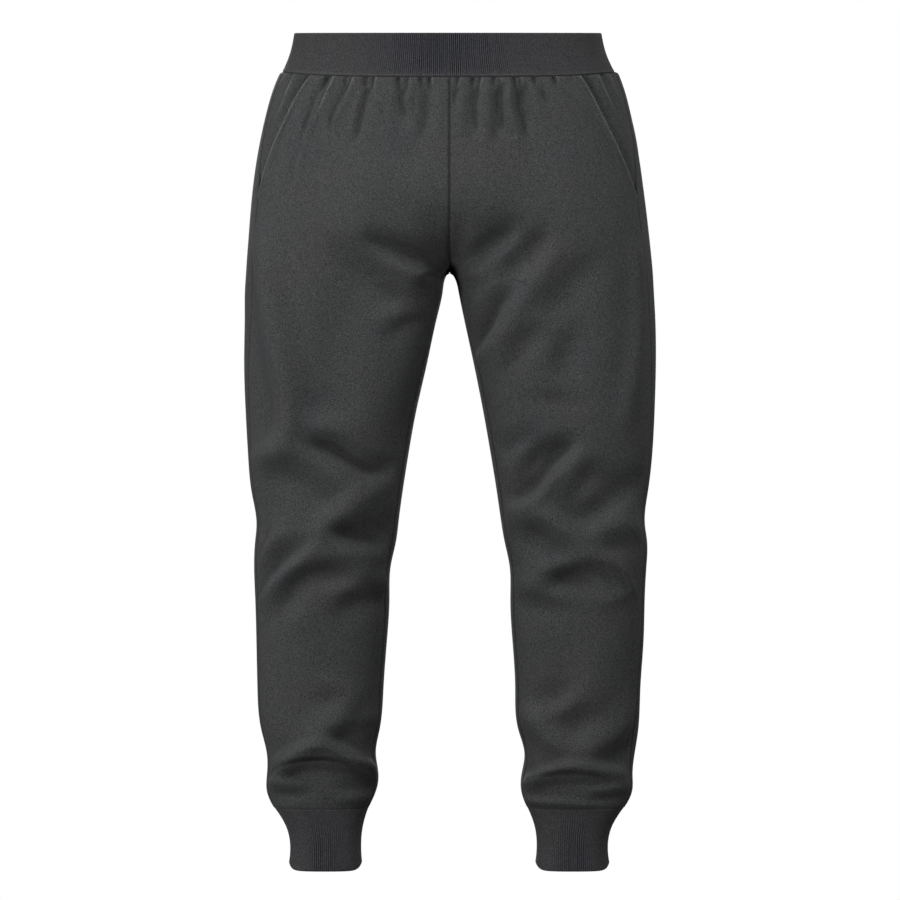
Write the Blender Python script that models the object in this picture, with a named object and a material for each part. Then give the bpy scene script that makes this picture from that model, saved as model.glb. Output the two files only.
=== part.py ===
"""Jogger sweatpants, filled out and hollow, held at the waist.

Frame: +X to the right of someone looking at the front, -Y the way the front faces, +Z up. Left and
right in names are as seen from the front. The origin is the middle of the waist opening. Sizes in this
script are millimetres, and `drop` is the distance down from the waist edge.

The cloth is one closed outline at each height: two leg outlines, each an oval with squared corners,
that grow together above the crotch. Four panels, two pocket facings, a ribbed waistband and two ribbed
cuffs are cut from it along their seams, then folds and gathers push the cloth in and out.
"""

from types import SimpleNamespace

import bpy
import numpy as np

MM = 0.001
WALL = 2.0  # cloth of the panels
BAND_WALL = 3.0  # doubled rib of the waistband and cuffs
GAP = 0.3  # between two pieces at a seam
BAND_DROP = 53.0  # waistband seam
CUFF_DROP = 944.0  # cuff seam
HEM_DROP = 1020.0
INSEAM_FORWARD = 0.42  # the inside seam ahead of the widest line, as a share of the front depth
TILT = 0.115  # rise of the waist edge towards the back, per mm of depth
SIDE_RISE = 5.0  # rise of the waistband seam at its sides
POCKET_LAP = 14.0  # facing under the front panel
POCKET_DIP = 3.6  # facing below the panel's face at the mouth
BAND_RIBS, CUFF_RIBS = 330, 96
RIB_DEPTH = 0.35

# The outline at each height. out and in: each leg's outer and inner edge from the centre line; where
# the legs have grown together, in is negative. front and back: depth from the middle plane. blend: how
# widely the two legs merge. seam: how far the side seam runs ahead of the widest line, as a share of
# the front depth. A row per section.
SECTION_COLUMNS = "drop left_out left_in right_out right_in front back blend seam"
SECTIONS = np.array([
    (40, 196.0, -196.0, 194.0, -194.0, 83, 91, 1.0, 0.30),
    (53, 204.0, -203.0, 201.5, -201.0, 86, 95, 1.0, 0.30),
    (75, 215.0, -213.0, 211.5, -210.0, 91, 102, 1.0, 0.31),
    (110, 226.0, -221.0, 222.0, -218.0, 97, 112, 3.0, 0.32),
    (150, 234.4, -214.0, 230.8, -212.0, 101, 121, 10.0, 0.37),
    (190, 240.0, -165.0, 236.6, -164.0, 104, 126, 20.0, 0.45),
    (225, 243.3, -105.0, 241.0, -104.0, 103, 126, 22.0, 0.51),
    (255, 245.5, -50.0, 244.3, -50.0, 100, 122, 17.0, 0.54),
    (280, 247.3, -11.0, 246.8, -11.0, 96, 114, 11.0, 0.55),
    (292, 248.0, 1.5, 247.8, 2.0, 94, 110, 9.0, 0.55),
    (315, 249.4, 8.2, 249.1, 10.9, 91, 104, 8.0, 0.55),
    (345, 249.6, 14.8, 250.7, 17.0, 88, 98, 8.0, 0.54),
    (400, 250.3, 26.7, 251.6, 28.8, 84, 91, 8.0, 0.50),
    (460, 248.5, 40.3, 250.0, 40.8, 79, 83, 8.0, 0.46),
    (520, 245.1, 51.0, 246.5, 51.3, 74, 73, 8.0, 0.43),
    (560, 241.0, 57.2, 241.6, 57.7, 71, 66, 8.0, 0.42),
    (598, 235.0, 62.2, 237.9, 63.2, 69, 60, 8.0, 0.42),
    (620, 236.7, 65.1, 240.6, 67.0, 67, 57, 8.0, 0.42),
    (650, 238.0, 71.6, 239.9, 73.2, 63, 55, 8.0, 0.42),
    (690, 236.8, 73.2, 238.0, 74.2, 56, 56, 8.0, 0.42),
    (740, 235.6, 76.2, 236.8, 76.7, 50, 59, 8.0, 0.42),
    (800, 234.5, 80.6, 233.0, 80.2, 44, 62, 8.0, 0.42),
    (850, 229.9, 85.3, 230.5, 83.9, 40, 61, 8.0, 0.42),
    (880, 223.0, 90.0, 226.0, 91.6, 37, 59, 8.0, 0.42),
    (905, 223.0, 86.8, 223.6, 88.0, 39, 60, 8.0, 0.42),
    (925, 223.0, 89.7, 223.0, 87.6, 38, 58, 8.0, 0.42),
    (944, 215.0, 98.0, 214.0, 94.0, 34, 52, 8.0, 0.42),
    (960, 205.0, 105.0, 202.5, 101.9, 31, 47, 8.0, 0.42),
])
CORNER_FRONT, CORNER_BACK = 2.6, 2.3  # 2 is an ellipse, higher is squarer

# Ribbed tubes: drop, middle, half width, front depth and back depth. A row per section.
WAISTBAND = np.array([
    (0, -2.0, 187.2, 80, 88),
    (26, -1.8, 192.4, 81, 89),
    (BAND_DROP, -1.2, 202.6, 86, 95),
])
LEFT_CUFF = np.array([
    (CUFF_DROP, 156.4, 57.5, 33.5, 51.0),
    (966, 152.9, 47.6, 30, 46),
    (HEM_DROP, 151.4, 44.6, 28.5, 44.5),
])
RIGHT_CUFF = np.array([
    (CUFF_DROP, 154.0, 59.0, 33.5, 51.0),
    (966, 151.3, 48.0, 30, 46),
    (HEM_DROP, 150.0, 45.2, 28.5, 44.5),
])

# The slash pocket's mouth: distance from the centre line, down to where it joins the side seam.
MOUTH_COLUMNS = "drop left right"
MOUTH = np.array([
    (53, 165.0, 156.0),
    (75, 181.5, 170.0),
    (100, 195.0, 183.0),
    (130, 208.5, 198.0),
    (165, 220.0, 213.0),
    (190, 226.5, 222.0),
    (215, 230.5, 229.0),
])
MOUTH_END = 206.0

# Gathers under the waistband: distance of each from the centre seam, measured along the seam as a
# share of the panel's top edge.
FRONT_GATHERS = (0.08, 0.20, 0.32, 0.45, 0.58, 0.71, 0.86)
BACK_GATHERS = (0.07, 0.21, 0.35, 0.49, 0.63, 0.77, 0.91)
GATHER_DEPTH, GATHER_LENGTH = 2.6, 34.0

# The largest folds. Each runs through three points of the front or the back, given as x and drop, and
# pushes the cloth by depth: minus is a hollow. Left legs have x below 0. A row per fold.
# Columns: x1, d1, x2, d2, x3, d3, width, depth.
FRONT_FOLDS = np.array([
    (-100, 244, -50, 256, -6, 280, 13, -5.0),
    (-84, 272, -50, 282, -22, 296, 11, 3.5),
    (-176, 494, -110, 512, -58, 524, 12, -5.0),
    (-160, 585, -115, 578, -70, 566, 12, 4.0),
    (-234, 640, -178, 600, -130, 585, 12, 5.5),
    (-222, 705, -170, 662, -118, 655, 12, -6.0),
    (-140, 698, -110, 688, -76, 682, 11, -4.5),
    (-150, 862, -115, 845, -80, 843, 12, -4.0),
    (-205, 908, -150, 884, -88, 912, 10, -5.5),
    (-218, 896, -155, 872, -92, 886, 10, 4.0),
    (22, 264, 60, 242, 92, 230, 12, -4.5),
    (92, 340, 134, 302, 188, 262, 13, -4.0),
    (30, 290, 66, 272, 110, 252, 11, 3.5),
    (74, 580, 118, 548, 158, 506, 11, 5.0),
    (76, 610, 116, 616, 146, 630, 12, -5.0),
    (112, 690, 165, 658, 214, 692, 11, -6.0),
    (110, 668, 165, 640, 222, 668, 10, 4.0),
    (84, 706, 140, 716, 210, 706, 12, 4.0),
    (126, 846, 165, 828, 200, 822, 12, -4.0),
    (178, 886, 205, 862, 230, 826, 11, -4.0),
    (90, 930, 150, 902, 202, 918, 10, -5.5),
    (92, 906, 150, 884, 214, 896, 10, 4.0),
])
BACK_FOLDS = np.array([
    (-200, 300, -110, 330, -24, 330, 16, -5.0),
    (-190, 335, -110, 366, -34, 370, 15, 4.0),
    (-226, 640, -150, 612, -80, 640, 13, 5.0),
    (-224, 668, -150, 646, -80, 668, 12, -6.0),
    (-220, 900, -150, 880, -96, 896, 11, -5.0),
    (200, 305, 110, 332, 24, 336, 16, -5.0),
    (190, 340, 110, 368, 34, 374, 15, 4.0),
    (226, 634, 150, 618, 80, 634, 13, 5.0),
    (224, 664, 150, 650, 80, 664, 12, -6.0),
    (216, 898, 150, 882, 96, 900, 11, -5.0),
])

# Rows of the panels: their share of the way down to the crotch, then drops below it. They are close
# together where the folds of the knee and the ankle are.
ROWS_ABOVE = (0, 0.045, 0.12, 0.22, 0.34, 0.46, 0.58, 0.7, 0.81, 0.9, 0.96, 1)
DROPS_BELOW = (297, 305, 320, 350, 390, 435, 475, 505, 530, 552, 572, 590, 607, 624, 640, 656,
               672, 690, 715, 750, 785, 820, 842, 860, 876, 890, 904, 918, 931, CUFF_DROP)
CROTCH_SIDE_DROP = 336.0  # the outer end of the row that starts at the crotch

CHARCOAL = (0.045, 0.047, 0.049, 1)
CHARCOAL_RIB = (0.038, 0.038, 0.042, 1)


def spline(knots, values, at):
    """A natural cubic spline through the knots, one column of values each, at these places."""
    knots, values, at = (np.asarray(a, float) for a in (knots, values, at))
    step = np.diff(knots)
    slope = np.diff(values, axis=0) / step[:, None]
    size = len(knots)
    matrix, right = np.eye(size), np.zeros(values.shape)
    inside = np.arange(1, size - 1)
    matrix[inside, inside - 1] = step[:-1]
    matrix[inside, inside] = 2 * (step[:-1] + step[1:])
    matrix[inside, inside + 1] = step[1:]
    right[inside] = 6 * np.diff(slope, axis=0)
    bend = np.linalg.solve(matrix, right)
    flat = np.clip(at.reshape(-1), knots[0], knots[-1])
    i = np.clip(np.searchsorted(knots, flat) - 1, 0, size - 2)
    h, left, rest = step[i][:, None], (flat - knots[i])[:, None], (knots[i + 1] - flat)[:, None]
    found = (bend[i] * rest**3 + bend[i + 1] * left**3) / (6 * h)
    found += (values[i] / h - bend[i] * h / 6) * rest + (values[i + 1] / h - bend[i + 1] * h / 6) * left
    return found.reshape(at.shape + values.shape[1:])


def named(columns, table, at):
    """The named columns of a table at these drops. The first column is the drop."""
    found = spline(table[:, 0], table[:, 1:], at)
    return SimpleNamespace(**{name: found[..., i] for i, name in enumerate(columns.split()[1:])})


def section(drop, side):
    """The outline at these drops, seen from one leg: side is -1 for the left of the front view."""
    s = named(SECTION_COLUMNS, SECTIONS, drop)
    own, other = (s.left_out, s.left_in), (s.right_out, s.right_in)
    if side > 0:
        own, other = other, own
    s.own_mid, s.own_half = (own[0] + own[1]) / 2, (own[0] - own[1]) / 2
    s.other_mid, s.other_half = (other[0] + other[1]) / 2, (other[0] - other[1]) / 2
    s.widest = (s.back - s.front) / 3  # y of the widest line
    s.front, s.back = s.front + s.widest, s.back - s.widest
    s.scale = (s.front + s.back) / 2
    inner = np.logaddexp(0, own[1] / 12) * 12
    s.ray_x, s.ray_y = (own[0] + inner) / 2, s.widest
    return s


def field(x, y, s):
    """How far a point is outside the outline, roughly in mm, with x towards the chosen leg."""
    ahead = y < s.widest
    corner = np.where(ahead, CORNER_FRONT, CORNER_BACK)
    deep = (np.abs(y - s.widest) / np.where(ahead, s.front, s.back)) ** corner
    own = ((np.abs(x - s.own_mid) / s.own_half) ** corner + deep) ** (1 / corner) - 1
    other = ((np.abs(x + s.other_mid) / s.other_half) ** corner + deep) ** (1 / corner) - 1
    near = np.clip(1 - np.abs(own - other) * s.scale / s.blend, 0, 1)
    return np.minimum(own, other) * s.scale - s.blend * near**2 / 4


def reach(x, y, dx, dy, s, most):
    """How far along a direction the outline is crossed, by halving."""
    low, high = np.zeros_like(most), most.copy()
    for _ in range(26):
        middle = (low + high) / 2
        inside = field(x + dx * middle, y + dy * middle, s) < 0
        low, high = np.where(inside, middle, low), np.where(inside, high, middle)
    return (low + high) / 2


def on_ray(angle, drop, side):
    """The base surface where a ray of this angle, from inside the leg, leaves it."""
    s = section(drop, side)
    dx, dy = np.cos(angle), np.sin(angle)
    most = np.where(dx < 0, np.minimum(s.ray_x / np.maximum(-dx, 1e-9), 400.0), 400.0)
    far = reach(s.ray_x, s.ray_y, dx, dy, s, most)
    return np.stack([s.ray_x + dx * far, s.ray_y + dy * far, drop + 0 * far], -1)


def at_x(x, drop, side, face):
    """The base surface at this x: face is -1 for the front and 1 for the back."""
    s = section(drop, side)
    far = reach(x, s.widest, 0.0, face, s, np.full(np.shape(drop), 260.0))
    return np.stack([x + 0 * far, s.widest + face * far, drop + 0 * far], -1)


def at_y(share, drop, side, way):
    """The base surface this share of the front depth ahead of the widest line: way 1 is outwards."""
    s = section(drop, side)
    y = s.widest - share * s.front
    most = np.where(way > 0, 300.0, s.ray_x)
    far = reach(s.ray_x, y, float(way), 0.0, s, most)
    return np.stack([s.ray_x + way * far, y, drop + 0 * far], -1)


def angle_of(point, side):
    s = section(point[..., 2], side)
    return np.arctan2(point[..., 1] - s.ray_y, point[..., 0] - s.ray_x)


def crotch_drop():
    low, high = 270.0, 320.0
    for _ in range(40):
        middle = (low + high) / 2
        s = section(np.array(middle), 1)
        low, high = (middle, high) if field(0.0, s.widest, s) < 0 else (low, middle)
    return (low + high) / 2


CROTCH = crotch_drop()


def placed(point):
    """Base point to space: the waist edge rises to the back, and the band's seam rises at the sides."""
    x, y, drop = point[..., 0], point[..., 1], point[..., 2]
    tilt = np.clip((270 - drop) / 215, 0, 1) ** 2 * (3 - 2 * np.clip((270 - drop) / 215, 0, 1))
    side = (x / 200) ** 4 * np.where(drop < BAND_DROP, drop / BAND_DROP,
                                     np.clip(1 - (drop - BAND_DROP) / 90, 0, 1) ** 2)
    return np.stack([x, y, -drop + TILT * y * tilt + SIDE_RISE * side], -1)


def outward(point, side):
    """Unit normals of the base surface, from the slope of the field and the slope of `placed`."""
    step = 0.5
    slope = []
    for axis in range(3):
        move = np.zeros(3)
        move[axis] = step
        ends = [field(p[..., 0], p[..., 1], section(p[..., 2], side)) for p in (point + move, point - move)]
        rise = (placed(point + move) - placed(point - move))[..., 2]
        slope.append(((ends[0] - ends[1]) / (2 * step), rise / (2 * step)))
    up = slope[2][0] / slope[2][1]
    normal = np.stack([slope[0][0] - slope[0][1] * up, slope[1][0] - slope[1][1] * up, up], -1)
    return normal / np.linalg.norm(normal, axis=-1, keepdims=True)


def stroke_line(x, drop, side, face):
    """A fold's line on the base surface, as points in space seen from this leg."""
    t = np.linspace(0, 1, 9)[:, None]
    p, q, r = (np.array(v, float) for v in zip(x, drop))
    bend = 2 * q - (p + r) / 2
    line = (1 - t) ** 2 * p + 2 * t * (1 - t) * bend + t**2 * r
    s = section(line[:, 1], side)
    limit = 0.985 * (s.own_mid + s.own_half)
    points = at_x(np.clip(line[:, 0], -limit, limit), line[:, 1], side, face)
    return placed(points)


def along(points, line):
    """Distance from each point to a line of short pieces, and how far along it the nearest place is."""
    best, where = np.full(points.shape[:-1], 1e9), np.zeros(points.shape[:-1])
    count = len(line) - 1
    for i, (a, b) in enumerate(zip(line[:-1], line[1:])):
        t = np.clip(((points - a) @ (b - a)) / ((b - a) @ (b - a)), 0, 1)
        away = np.linalg.norm(points - a - t[..., None] * (b - a), axis=-1)
        where = np.where(away < best, (i + t) / count, where)
        best = np.minimum(best, away)
    return best, where


def folds(points, side):
    """How far the folds push the cloth out at these points in space, seen from this leg."""
    push = np.zeros(points.shape[:-1])
    for table, face in ((FRONT_FOLDS, -1), (BACK_FOLDS, 1)):
        for x1, d1, x2, d2, x3, d3, width, depth in table:
            line = stroke_line((side * x1, side * x2, side * x3), (d1, d2, d3), side, face)
            away, where = along(points, line)
            ends = np.clip(4 * where * (1 - where), 0, 1) ** 0.5
            push += depth * np.exp(-(away**2) / (2 * width**2)) * ends
    return push


def gathers(points, drop, fraction, centres):
    """Pinches at the waistband seam that open out downwards, with the cloth puffed between them."""
    down = np.clip((drop - BAND_DROP) / GATHER_LENGTH, 0, 1)
    near = np.abs(fraction[..., None] - np.array(centres)).min(-1)
    spacing = (centres[-1] - centres[0]) / (len(centres) - 1)
    wave = np.cos(2 * np.pi * np.clip(near / spacing, 0, 0.5))
    edge = np.clip((1 - fraction) / 0.06, 0, 1)
    return -GATHER_DEPTH * wave * edge * (1 - down) ** 1.5


def row_line(start, end, u, side):
    """Points of a row between two seams: the angle runs evenly, the drop leaves each end level."""
    level = u**3 * (10 - 15 * u + 6 * u**2)
    angle = start[0] + (end[0] - start[0]) * u
    return on_ray(angle, start[1] + (end[1] - start[1]) * level, side)


def spread(line, shares):
    """Where along a finely divided line these shares of its length fall, from 0 to 1."""
    length = np.r_[0, np.cumsum(np.linalg.norm(np.diff(placed(line), axis=0), axis=1))]
    return np.interp(shares, length / length[-1], np.linspace(0, 1, len(line)))


def inner_seam(face, side):
    """The centre seam from the waistband to the crotch, then the inside leg seam to the cuff."""
    depth = np.linspace(np.sqrt(CROTCH - BAND_DROP), 0, 400)
    rise = at_x(np.zeros(400), CROTCH - depth**2, side, face)
    steps = np.interp(spread(rise, ROWS_ABOVE), np.linspace(0, 1, 400), depth)
    top = at_x(np.zeros(len(steps)), CROTCH - steps**2, side, face)
    drops = np.array(DROPS_BELOW, float)
    forward = INSEAM_FORWARD * np.clip((drops - CROTCH) / 110, 0, 1) ** 1.5
    return np.concatenate([top, at_y(forward, drops, side, -1)])


def outer_drops():
    below = np.array(DROPS_BELOW, float)
    start, end = CROTCH_SIDE_DROP, CUFF_DROP
    squeezed = start + (below - CROTCH) / (end - CROTCH) * (end - start)
    return np.r_[BAND_DROP + np.array(ROWS_ABOVE) * (start - BAND_DROP), squeezed]


def side_seam(side):
    drops = outer_drops()
    return at_y(section(drops, side).seam, drops, side, 1)


def mouth_edge(side):
    """The front panel's outer edge: along the pocket mouth, then down the side seam."""
    seam = side_seam(side)
    drops = seam[:, 2]
    reach_out = named(MOUTH_COLUMNS, MOUTH, drops)
    mouth = at_x(reach_out.left if side < 0 else reach_out.right, drops, side, -1)
    return np.where((drops < MOUTH_END)[:, None], mouth, seam)


def column_shares(centres, rows):
    """Columns that stand on and between the gathers at the top, and evenly spaced from the hip down."""
    marks = [0.0]
    for before, after in zip(centres[:-1], centres[1:]):
        marks += [before, (before + after) / 2]
    marks = np.array(marks + [centres[-1], 1.0])
    even = np.linspace(0, 1, len(marks))
    even -= 0.3 * np.sin(2 * np.pi * even) / (2 * np.pi)
    mix = np.clip(np.arange(rows) / 6, 0, 1)[:, None]
    return marks * (1 - mix) + even * mix


def panel_points(start, end, side, centres, face):
    """A panel's base points, its places in space and how far the cloth is pushed, row by row."""
    first, last = angle_of(start, side), angle_of(end, side)
    first = np.where(first * face < 0, first + 2 * np.pi * face, first)
    shares = column_shares(centres, len(start))
    fine = np.linspace(0, 1, 160)
    rows = []
    for i in range(len(start)):
        ends = (first[i], start[i, 2]), (last[i], end[i, 2])
        rows.append(row_line(*ends, spread(row_line(*ends, fine, side), shares[i]), side))
    base = np.array(rows)
    push = folds(placed(base), side) + gathers(placed(base), base[..., 2], shares, centres)
    return base, push


def wall_points(base, push, side, thick):
    """Outer and inner points of a wall, which stands level at the waistband and cuff seams."""
    normal = outward(base, side)
    normal[[0, -1], :, 2] = 0
    normal /= np.linalg.norm(normal, axis=-1, keepdims=True)
    outer = placed(base) + normal * push[..., None]
    return outer, outer - normal * thick


def trimmed(points):
    """The grid with each edge drawn back by half the gap, so that two pieces clear each other."""
    points = points.copy()
    for axis in (0, 1):
        grid = np.swapaxes(points, 0, axis)
        for edge, inner in ((0, 1), (-1, -2)):
            way = grid[inner] - grid[edge]
            grid[edge] += way / np.linalg.norm(way, axis=-1, keepdims=True) * GAP / 2
    return points


def grid_faces(rows, columns):
    i, j = np.meshgrid(np.arange(rows - 1), np.arange(columns - 1), indexing="ij")
    corner = (i * columns + j).reshape(-1)
    return np.stack([corner, corner + columns, corner + columns + 1, corner + 1], 1)


def halved(points, faces):
    """Each four-sided face as two triangles, cut along its shorter diagonal."""
    a, b, c, d = faces.T
    across = np.linalg.norm(points[a] - points[c], axis=1) < np.linalg.norm(points[b] - points[d], axis=1)
    return np.concatenate([np.stack([a, b, np.where(across, c, d)], 1),
                           np.stack([np.where(across, a, b), c, d], 1)])


def closed_wall(outer, inner, faces):
    """Joins an outer and an inner skin of the same triangles with a rim round their open edges."""
    count = len(outer)
    faces = halved(outer, faces)
    ends = np.concatenate([faces[:, [i, (i + 1) % 3]] for i in range(3)])
    known = {tuple(e) for e in ends.tolist()}
    rim = [(b, a, a + count, b + count) for a, b in ends.tolist() if (b, a) not in known]
    return np.concatenate([outer, inner]), faces.tolist() + (faces[:, ::-1] + count).tolist() + rim


def material(name, colour, roughness):
    made = bpy.data.materials.new(name)
    made.use_nodes = True
    made.diffuse_color = colour
    shader = made.node_tree.nodes["Principled BSDF"]
    shader.inputs["Base Color"].default_value = colour
    shader.inputs["Roughness"].default_value = roughness
    return made


def add(name, points, faces, colour, side=1):
    """One named solid, its points turned from the leg's view to the object's frame."""
    points = points * (side * MM, MM, MM)
    mesh = bpy.data.meshes.new(name)
    mesh.from_pydata(points.tolist(), [], [f[::-1] if side < 0 else f for f in faces])
    mesh.update()
    mesh.materials.append(material(name + "_cloth", colour, 0.9))
    made = bpy.data.objects.new(name, mesh)
    bpy.context.scene.collection.objects.link(made)
    return made


def add_wall(name, base, push, side, faces, thick=WALL):
    outer, inner = wall_points(base, push, side, thick)
    outer, inner = trimmed(outer), trimmed(inner)
    points, faces = closed_wall(outer.reshape(-1, 3), inner.reshape(-1, 3), faces)
    return add(name, points, faces, CHARCOAL, side)


def facing_points(side):
    """The pocket facing: under the front panel behind the mouth, level with the cloth at the side."""
    seam = side_seam(side)
    seam = seam[: (seam[:, 2] < MOUTH_END).sum() + 1]
    mouth = mouth_edge(side)[: len(seam)]
    fine = np.linspace(0, 1, 200)
    rows, dips = [], []
    for edge, end in zip(mouth, seam):
        first = angle_of(edge, side) - POCKET_LAP / np.hypot(*(edge[:2] - (section(edge[2], side).ray_x, 0)))
        ends = (first, edge[2]), (angle_of(end, side), end[2])
        line = row_line(*ends, spread(row_line(*ends, fine, side), np.linspace(0, 1, 8)), side)
        past = np.linalg.norm(line - edge, axis=1) * np.sign(angle_of(line, side) - angle_of(edge, side))
        rise = np.clip((past - 3) / 12, 0, 1)
        rows.append(line)
        under = POCKET_DIP + GATHER_DEPTH * np.clip(1 - (edge[2] - BAND_DROP) / GATHER_LENGTH, 0, 1)
        dips.append(-under * (1 - rise**2 * (3 - 2 * rise)))
    base = np.array(rows)
    return base, np.array(dips) + folds(placed(base), side)


def oval(middle, half, front, back, count):
    """Points round a tube's outline, evenly spaced, from the widest point through the back."""
    fine = np.linspace(0, 2 * np.pi, 2400)
    widest = (back - front) / 3
    ahead = np.sin(fine) < 0
    power = 2 / np.where(ahead, CORNER_FRONT, CORNER_BACK)
    x = middle + half * np.sign(np.cos(fine)) * np.abs(np.cos(fine)) ** power
    deep = np.where(ahead, front + widest, back - widest)
    y = widest + deep * np.sign(np.sin(fine)) * np.abs(np.sin(fine)) ** power
    length = np.r_[0, np.cumsum(np.hypot(np.diff(x), np.diff(y)))]
    at = np.arange(count) / count * length[-1]
    return np.stack([np.interp(at, length, x), np.interp(at, length, y)], -1)


def ring_faces(rows, count):
    i, j = np.meshgrid(np.arange(rows - 1), np.arange(count), indexing="ij")
    a, b = (i * count + j).reshape(-1), (i * count + (j + 1) % count).reshape(-1)
    return np.stack([a, a + count, b + count, b], 1)


def ribbed_tube(name, table, ribs, ratio, side=1):
    """A tube whose outer skin stands up in ribs, over a plain inner skin with fewer columns."""
    count, plain = 2 * ribs, 2 * ribs // ratio
    outer, inner = [], []
    last = len(table) - 1
    for i, (drop, middle, half, front, back) in enumerate(table):
        if drop in (BAND_DROP, CUFF_DROP):
            drop += GAP / 2 if i == 0 else -GAP / 2
        xy = oval(middle, half, front, back, count)
        way = np.roll(xy, -1, 0) - np.roll(xy, 1, 0)
        normal = np.stack([way[:, 1], -way[:, 0]], 1) / np.linalg.norm(way, axis=1)[:, None]
        raised = RIB_DEPTH if 0 < i < last else RIB_DEPTH / 3
        ribbed = xy + normal * (raised * (-1.0) ** np.arange(count))[:, None]
        height = placed(np.c_[xy, np.full(count, drop)])[:, 2]
        outer.append(np.c_[ribbed, height])
        inner.append(np.c_[xy - normal * BAND_WALL, height][::ratio])
    outer, inner = np.array(outer), np.array(inner)
    start = count * len(table)
    faces = ring_faces(len(table), count).tolist()
    faces += (ring_faces(len(table), plain)[:, ::-1] + start).tolist()
    for row, turn in ((0, 1), (last, -1)):
        for i in range(count):
            a, b = i + row * count, (i + 1) % count + row * count
            near = ((i + ratio // 2) // ratio) % plain + start + row * plain
            after = ((i + 1 + ratio // 2) // ratio) % plain + start + row * plain
            faces.append([a, b, near][::turn])
            if near != after:
                faces.append([b, after, near][::turn])
    points = np.concatenate([outer.reshape(-1, 3), inner.reshape(-1, 3)])
    return add(name, points, faces, CHARCOAL_RIB, side)


def build():
    for item in list(bpy.data.objects):
        bpy.data.objects.remove(item)
    cuts = (("front", -1, FRONT_GATHERS, mouth_edge), ("back", 1, BACK_GATHERS, side_seam))
    for word, side in (("left", -1), ("right", 1)):
        for name, face, centres, outer_edge in cuts:
            base, push = panel_points(inner_seam(face, side), outer_edge(side), side, centres, face)
            faces = grid_faces(*base.shape[:2])
            add_wall(f"{name}_{word}", base, push, side, faces if face < 0 else faces[:, ::-1])
        base, push = facing_points(side)
        add_wall(f"pocket_facing_{word}", base, push, side, grid_faces(*base.shape[:2]))
    ribbed_tube("waistband", WAISTBAND, BAND_RIBS, 11)
    ribbed_tube("cuff_left", LEFT_CUFF, CUFF_RIBS, 8, -1)
    ribbed_tube("cuff_right", RIGHT_CUFF, CUFF_RIBS, 8)


build()
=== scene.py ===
# %% [markdown]
# # Charcoal jogger sweatpants
# A pair of fleece joggers, filled out as if on a form: four leg panels, two slash pockets, a ribbed
# waistband and two ribbed cuffs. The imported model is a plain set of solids. Here each solid gets a cloth
# piece with its folds, gathers, seams, ribs and finish. The frame is loaded first, because every piece
# sits where its solid is.

from types import SimpleNamespace

import bpy
import numpy as np
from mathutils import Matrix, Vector


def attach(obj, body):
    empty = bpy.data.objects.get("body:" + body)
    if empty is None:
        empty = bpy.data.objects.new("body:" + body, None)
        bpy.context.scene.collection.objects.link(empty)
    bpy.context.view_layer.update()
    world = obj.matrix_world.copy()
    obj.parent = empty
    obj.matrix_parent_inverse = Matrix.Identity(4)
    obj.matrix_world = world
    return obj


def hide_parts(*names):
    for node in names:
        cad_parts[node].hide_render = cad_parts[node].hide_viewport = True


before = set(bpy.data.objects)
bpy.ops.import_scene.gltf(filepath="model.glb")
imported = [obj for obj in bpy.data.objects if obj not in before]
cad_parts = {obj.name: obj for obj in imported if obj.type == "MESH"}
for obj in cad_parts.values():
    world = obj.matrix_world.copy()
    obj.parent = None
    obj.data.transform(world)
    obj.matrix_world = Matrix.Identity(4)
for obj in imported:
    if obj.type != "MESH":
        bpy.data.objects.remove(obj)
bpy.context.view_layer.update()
MM = 0.001  # the tables below are in millimetres, the scene is in metres
print("solids:", ", ".join(sorted(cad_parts)))

# %% [markdown]
# ## Camera
# The garment is seen straight on, level, from half way up. A long lens from 4.2 m keeps the legs nearly
# parallel, so the camera is placed first and stays a plain one: no shift and no blur.

# %% Camera
CAMERA_AWAY, CAMERA_RIGHT, CAMERA_DROP, VIEW_WIDE = 4200.0, 0.6, 508.8, 1098.0
SENSOR = 36  # mm


def add_camera():
    """Focal length: sensor width times distance, divided by the width seen at that distance."""
    camera = bpy.data.cameras.new("camera")
    camera.sensor_width = SENSOR
    camera.lens = SENSOR * CAMERA_AWAY / VIEW_WIDE
    made = bpy.data.objects.new("camera", camera)
    made.location = (CAMERA_RIGHT * MM, -CAMERA_AWAY * MM, -CAMERA_DROP * MM)
    made.rotation_euler = (np.pi / 2, 0, 0)
    bpy.context.scene.collection.objects.link(made)
    bpy.context.scene.camera = made
    return made


print("lens", round(add_camera().data.lens, 1), "mm")

# %% [markdown]
# ## Light and floor
# Dark fleece shows its folds only if one side of each fold is darker. So the strongest lamps of the front
# stand to the left and above, a weaker one stands to the right, and none stands straight ahead. Two more
# far behind light the back and stay off the outline of the front. The surroundings look white, as paper
# behind a product does, but light the cloth only a little. The four lamps in front were chosen with the help
# of a separate fitting program.

# %% Light and floor
FLOOR_DROP, FLOOR_WIDE = 1165.0, 760.0
LAMPS = (  # name, place in metres and power in watts
    ("left", (-1.83, -1.83, -0.22), 43.0),
    ("far_left", (-2.5, -0.67, -0.22), 16.0),
    ("top", (0.2, -1.08, 1.91), 35.0),
    ("right", (1.66, -1.98, -0.22), 22.0),
    ("behind_left", (-0.8, 3.1, 1.2), 95.0),
    ("behind_right", (0.6, 3.4, 0.0), 40.0),
    ("far_right", (2.6, 2.0, 0.3), 12.0),
)
LAMP_SIZE, LAMP_AIM = 1.0, (0, 0, -0.45)
PAPER_SEEN, PAPER_GIVEN = 1.0, 0.01  # how bright the surroundings look, and how much they light
FLOOR_GREY, FLOOR_ROUGH = 0.86, 0.8


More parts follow.
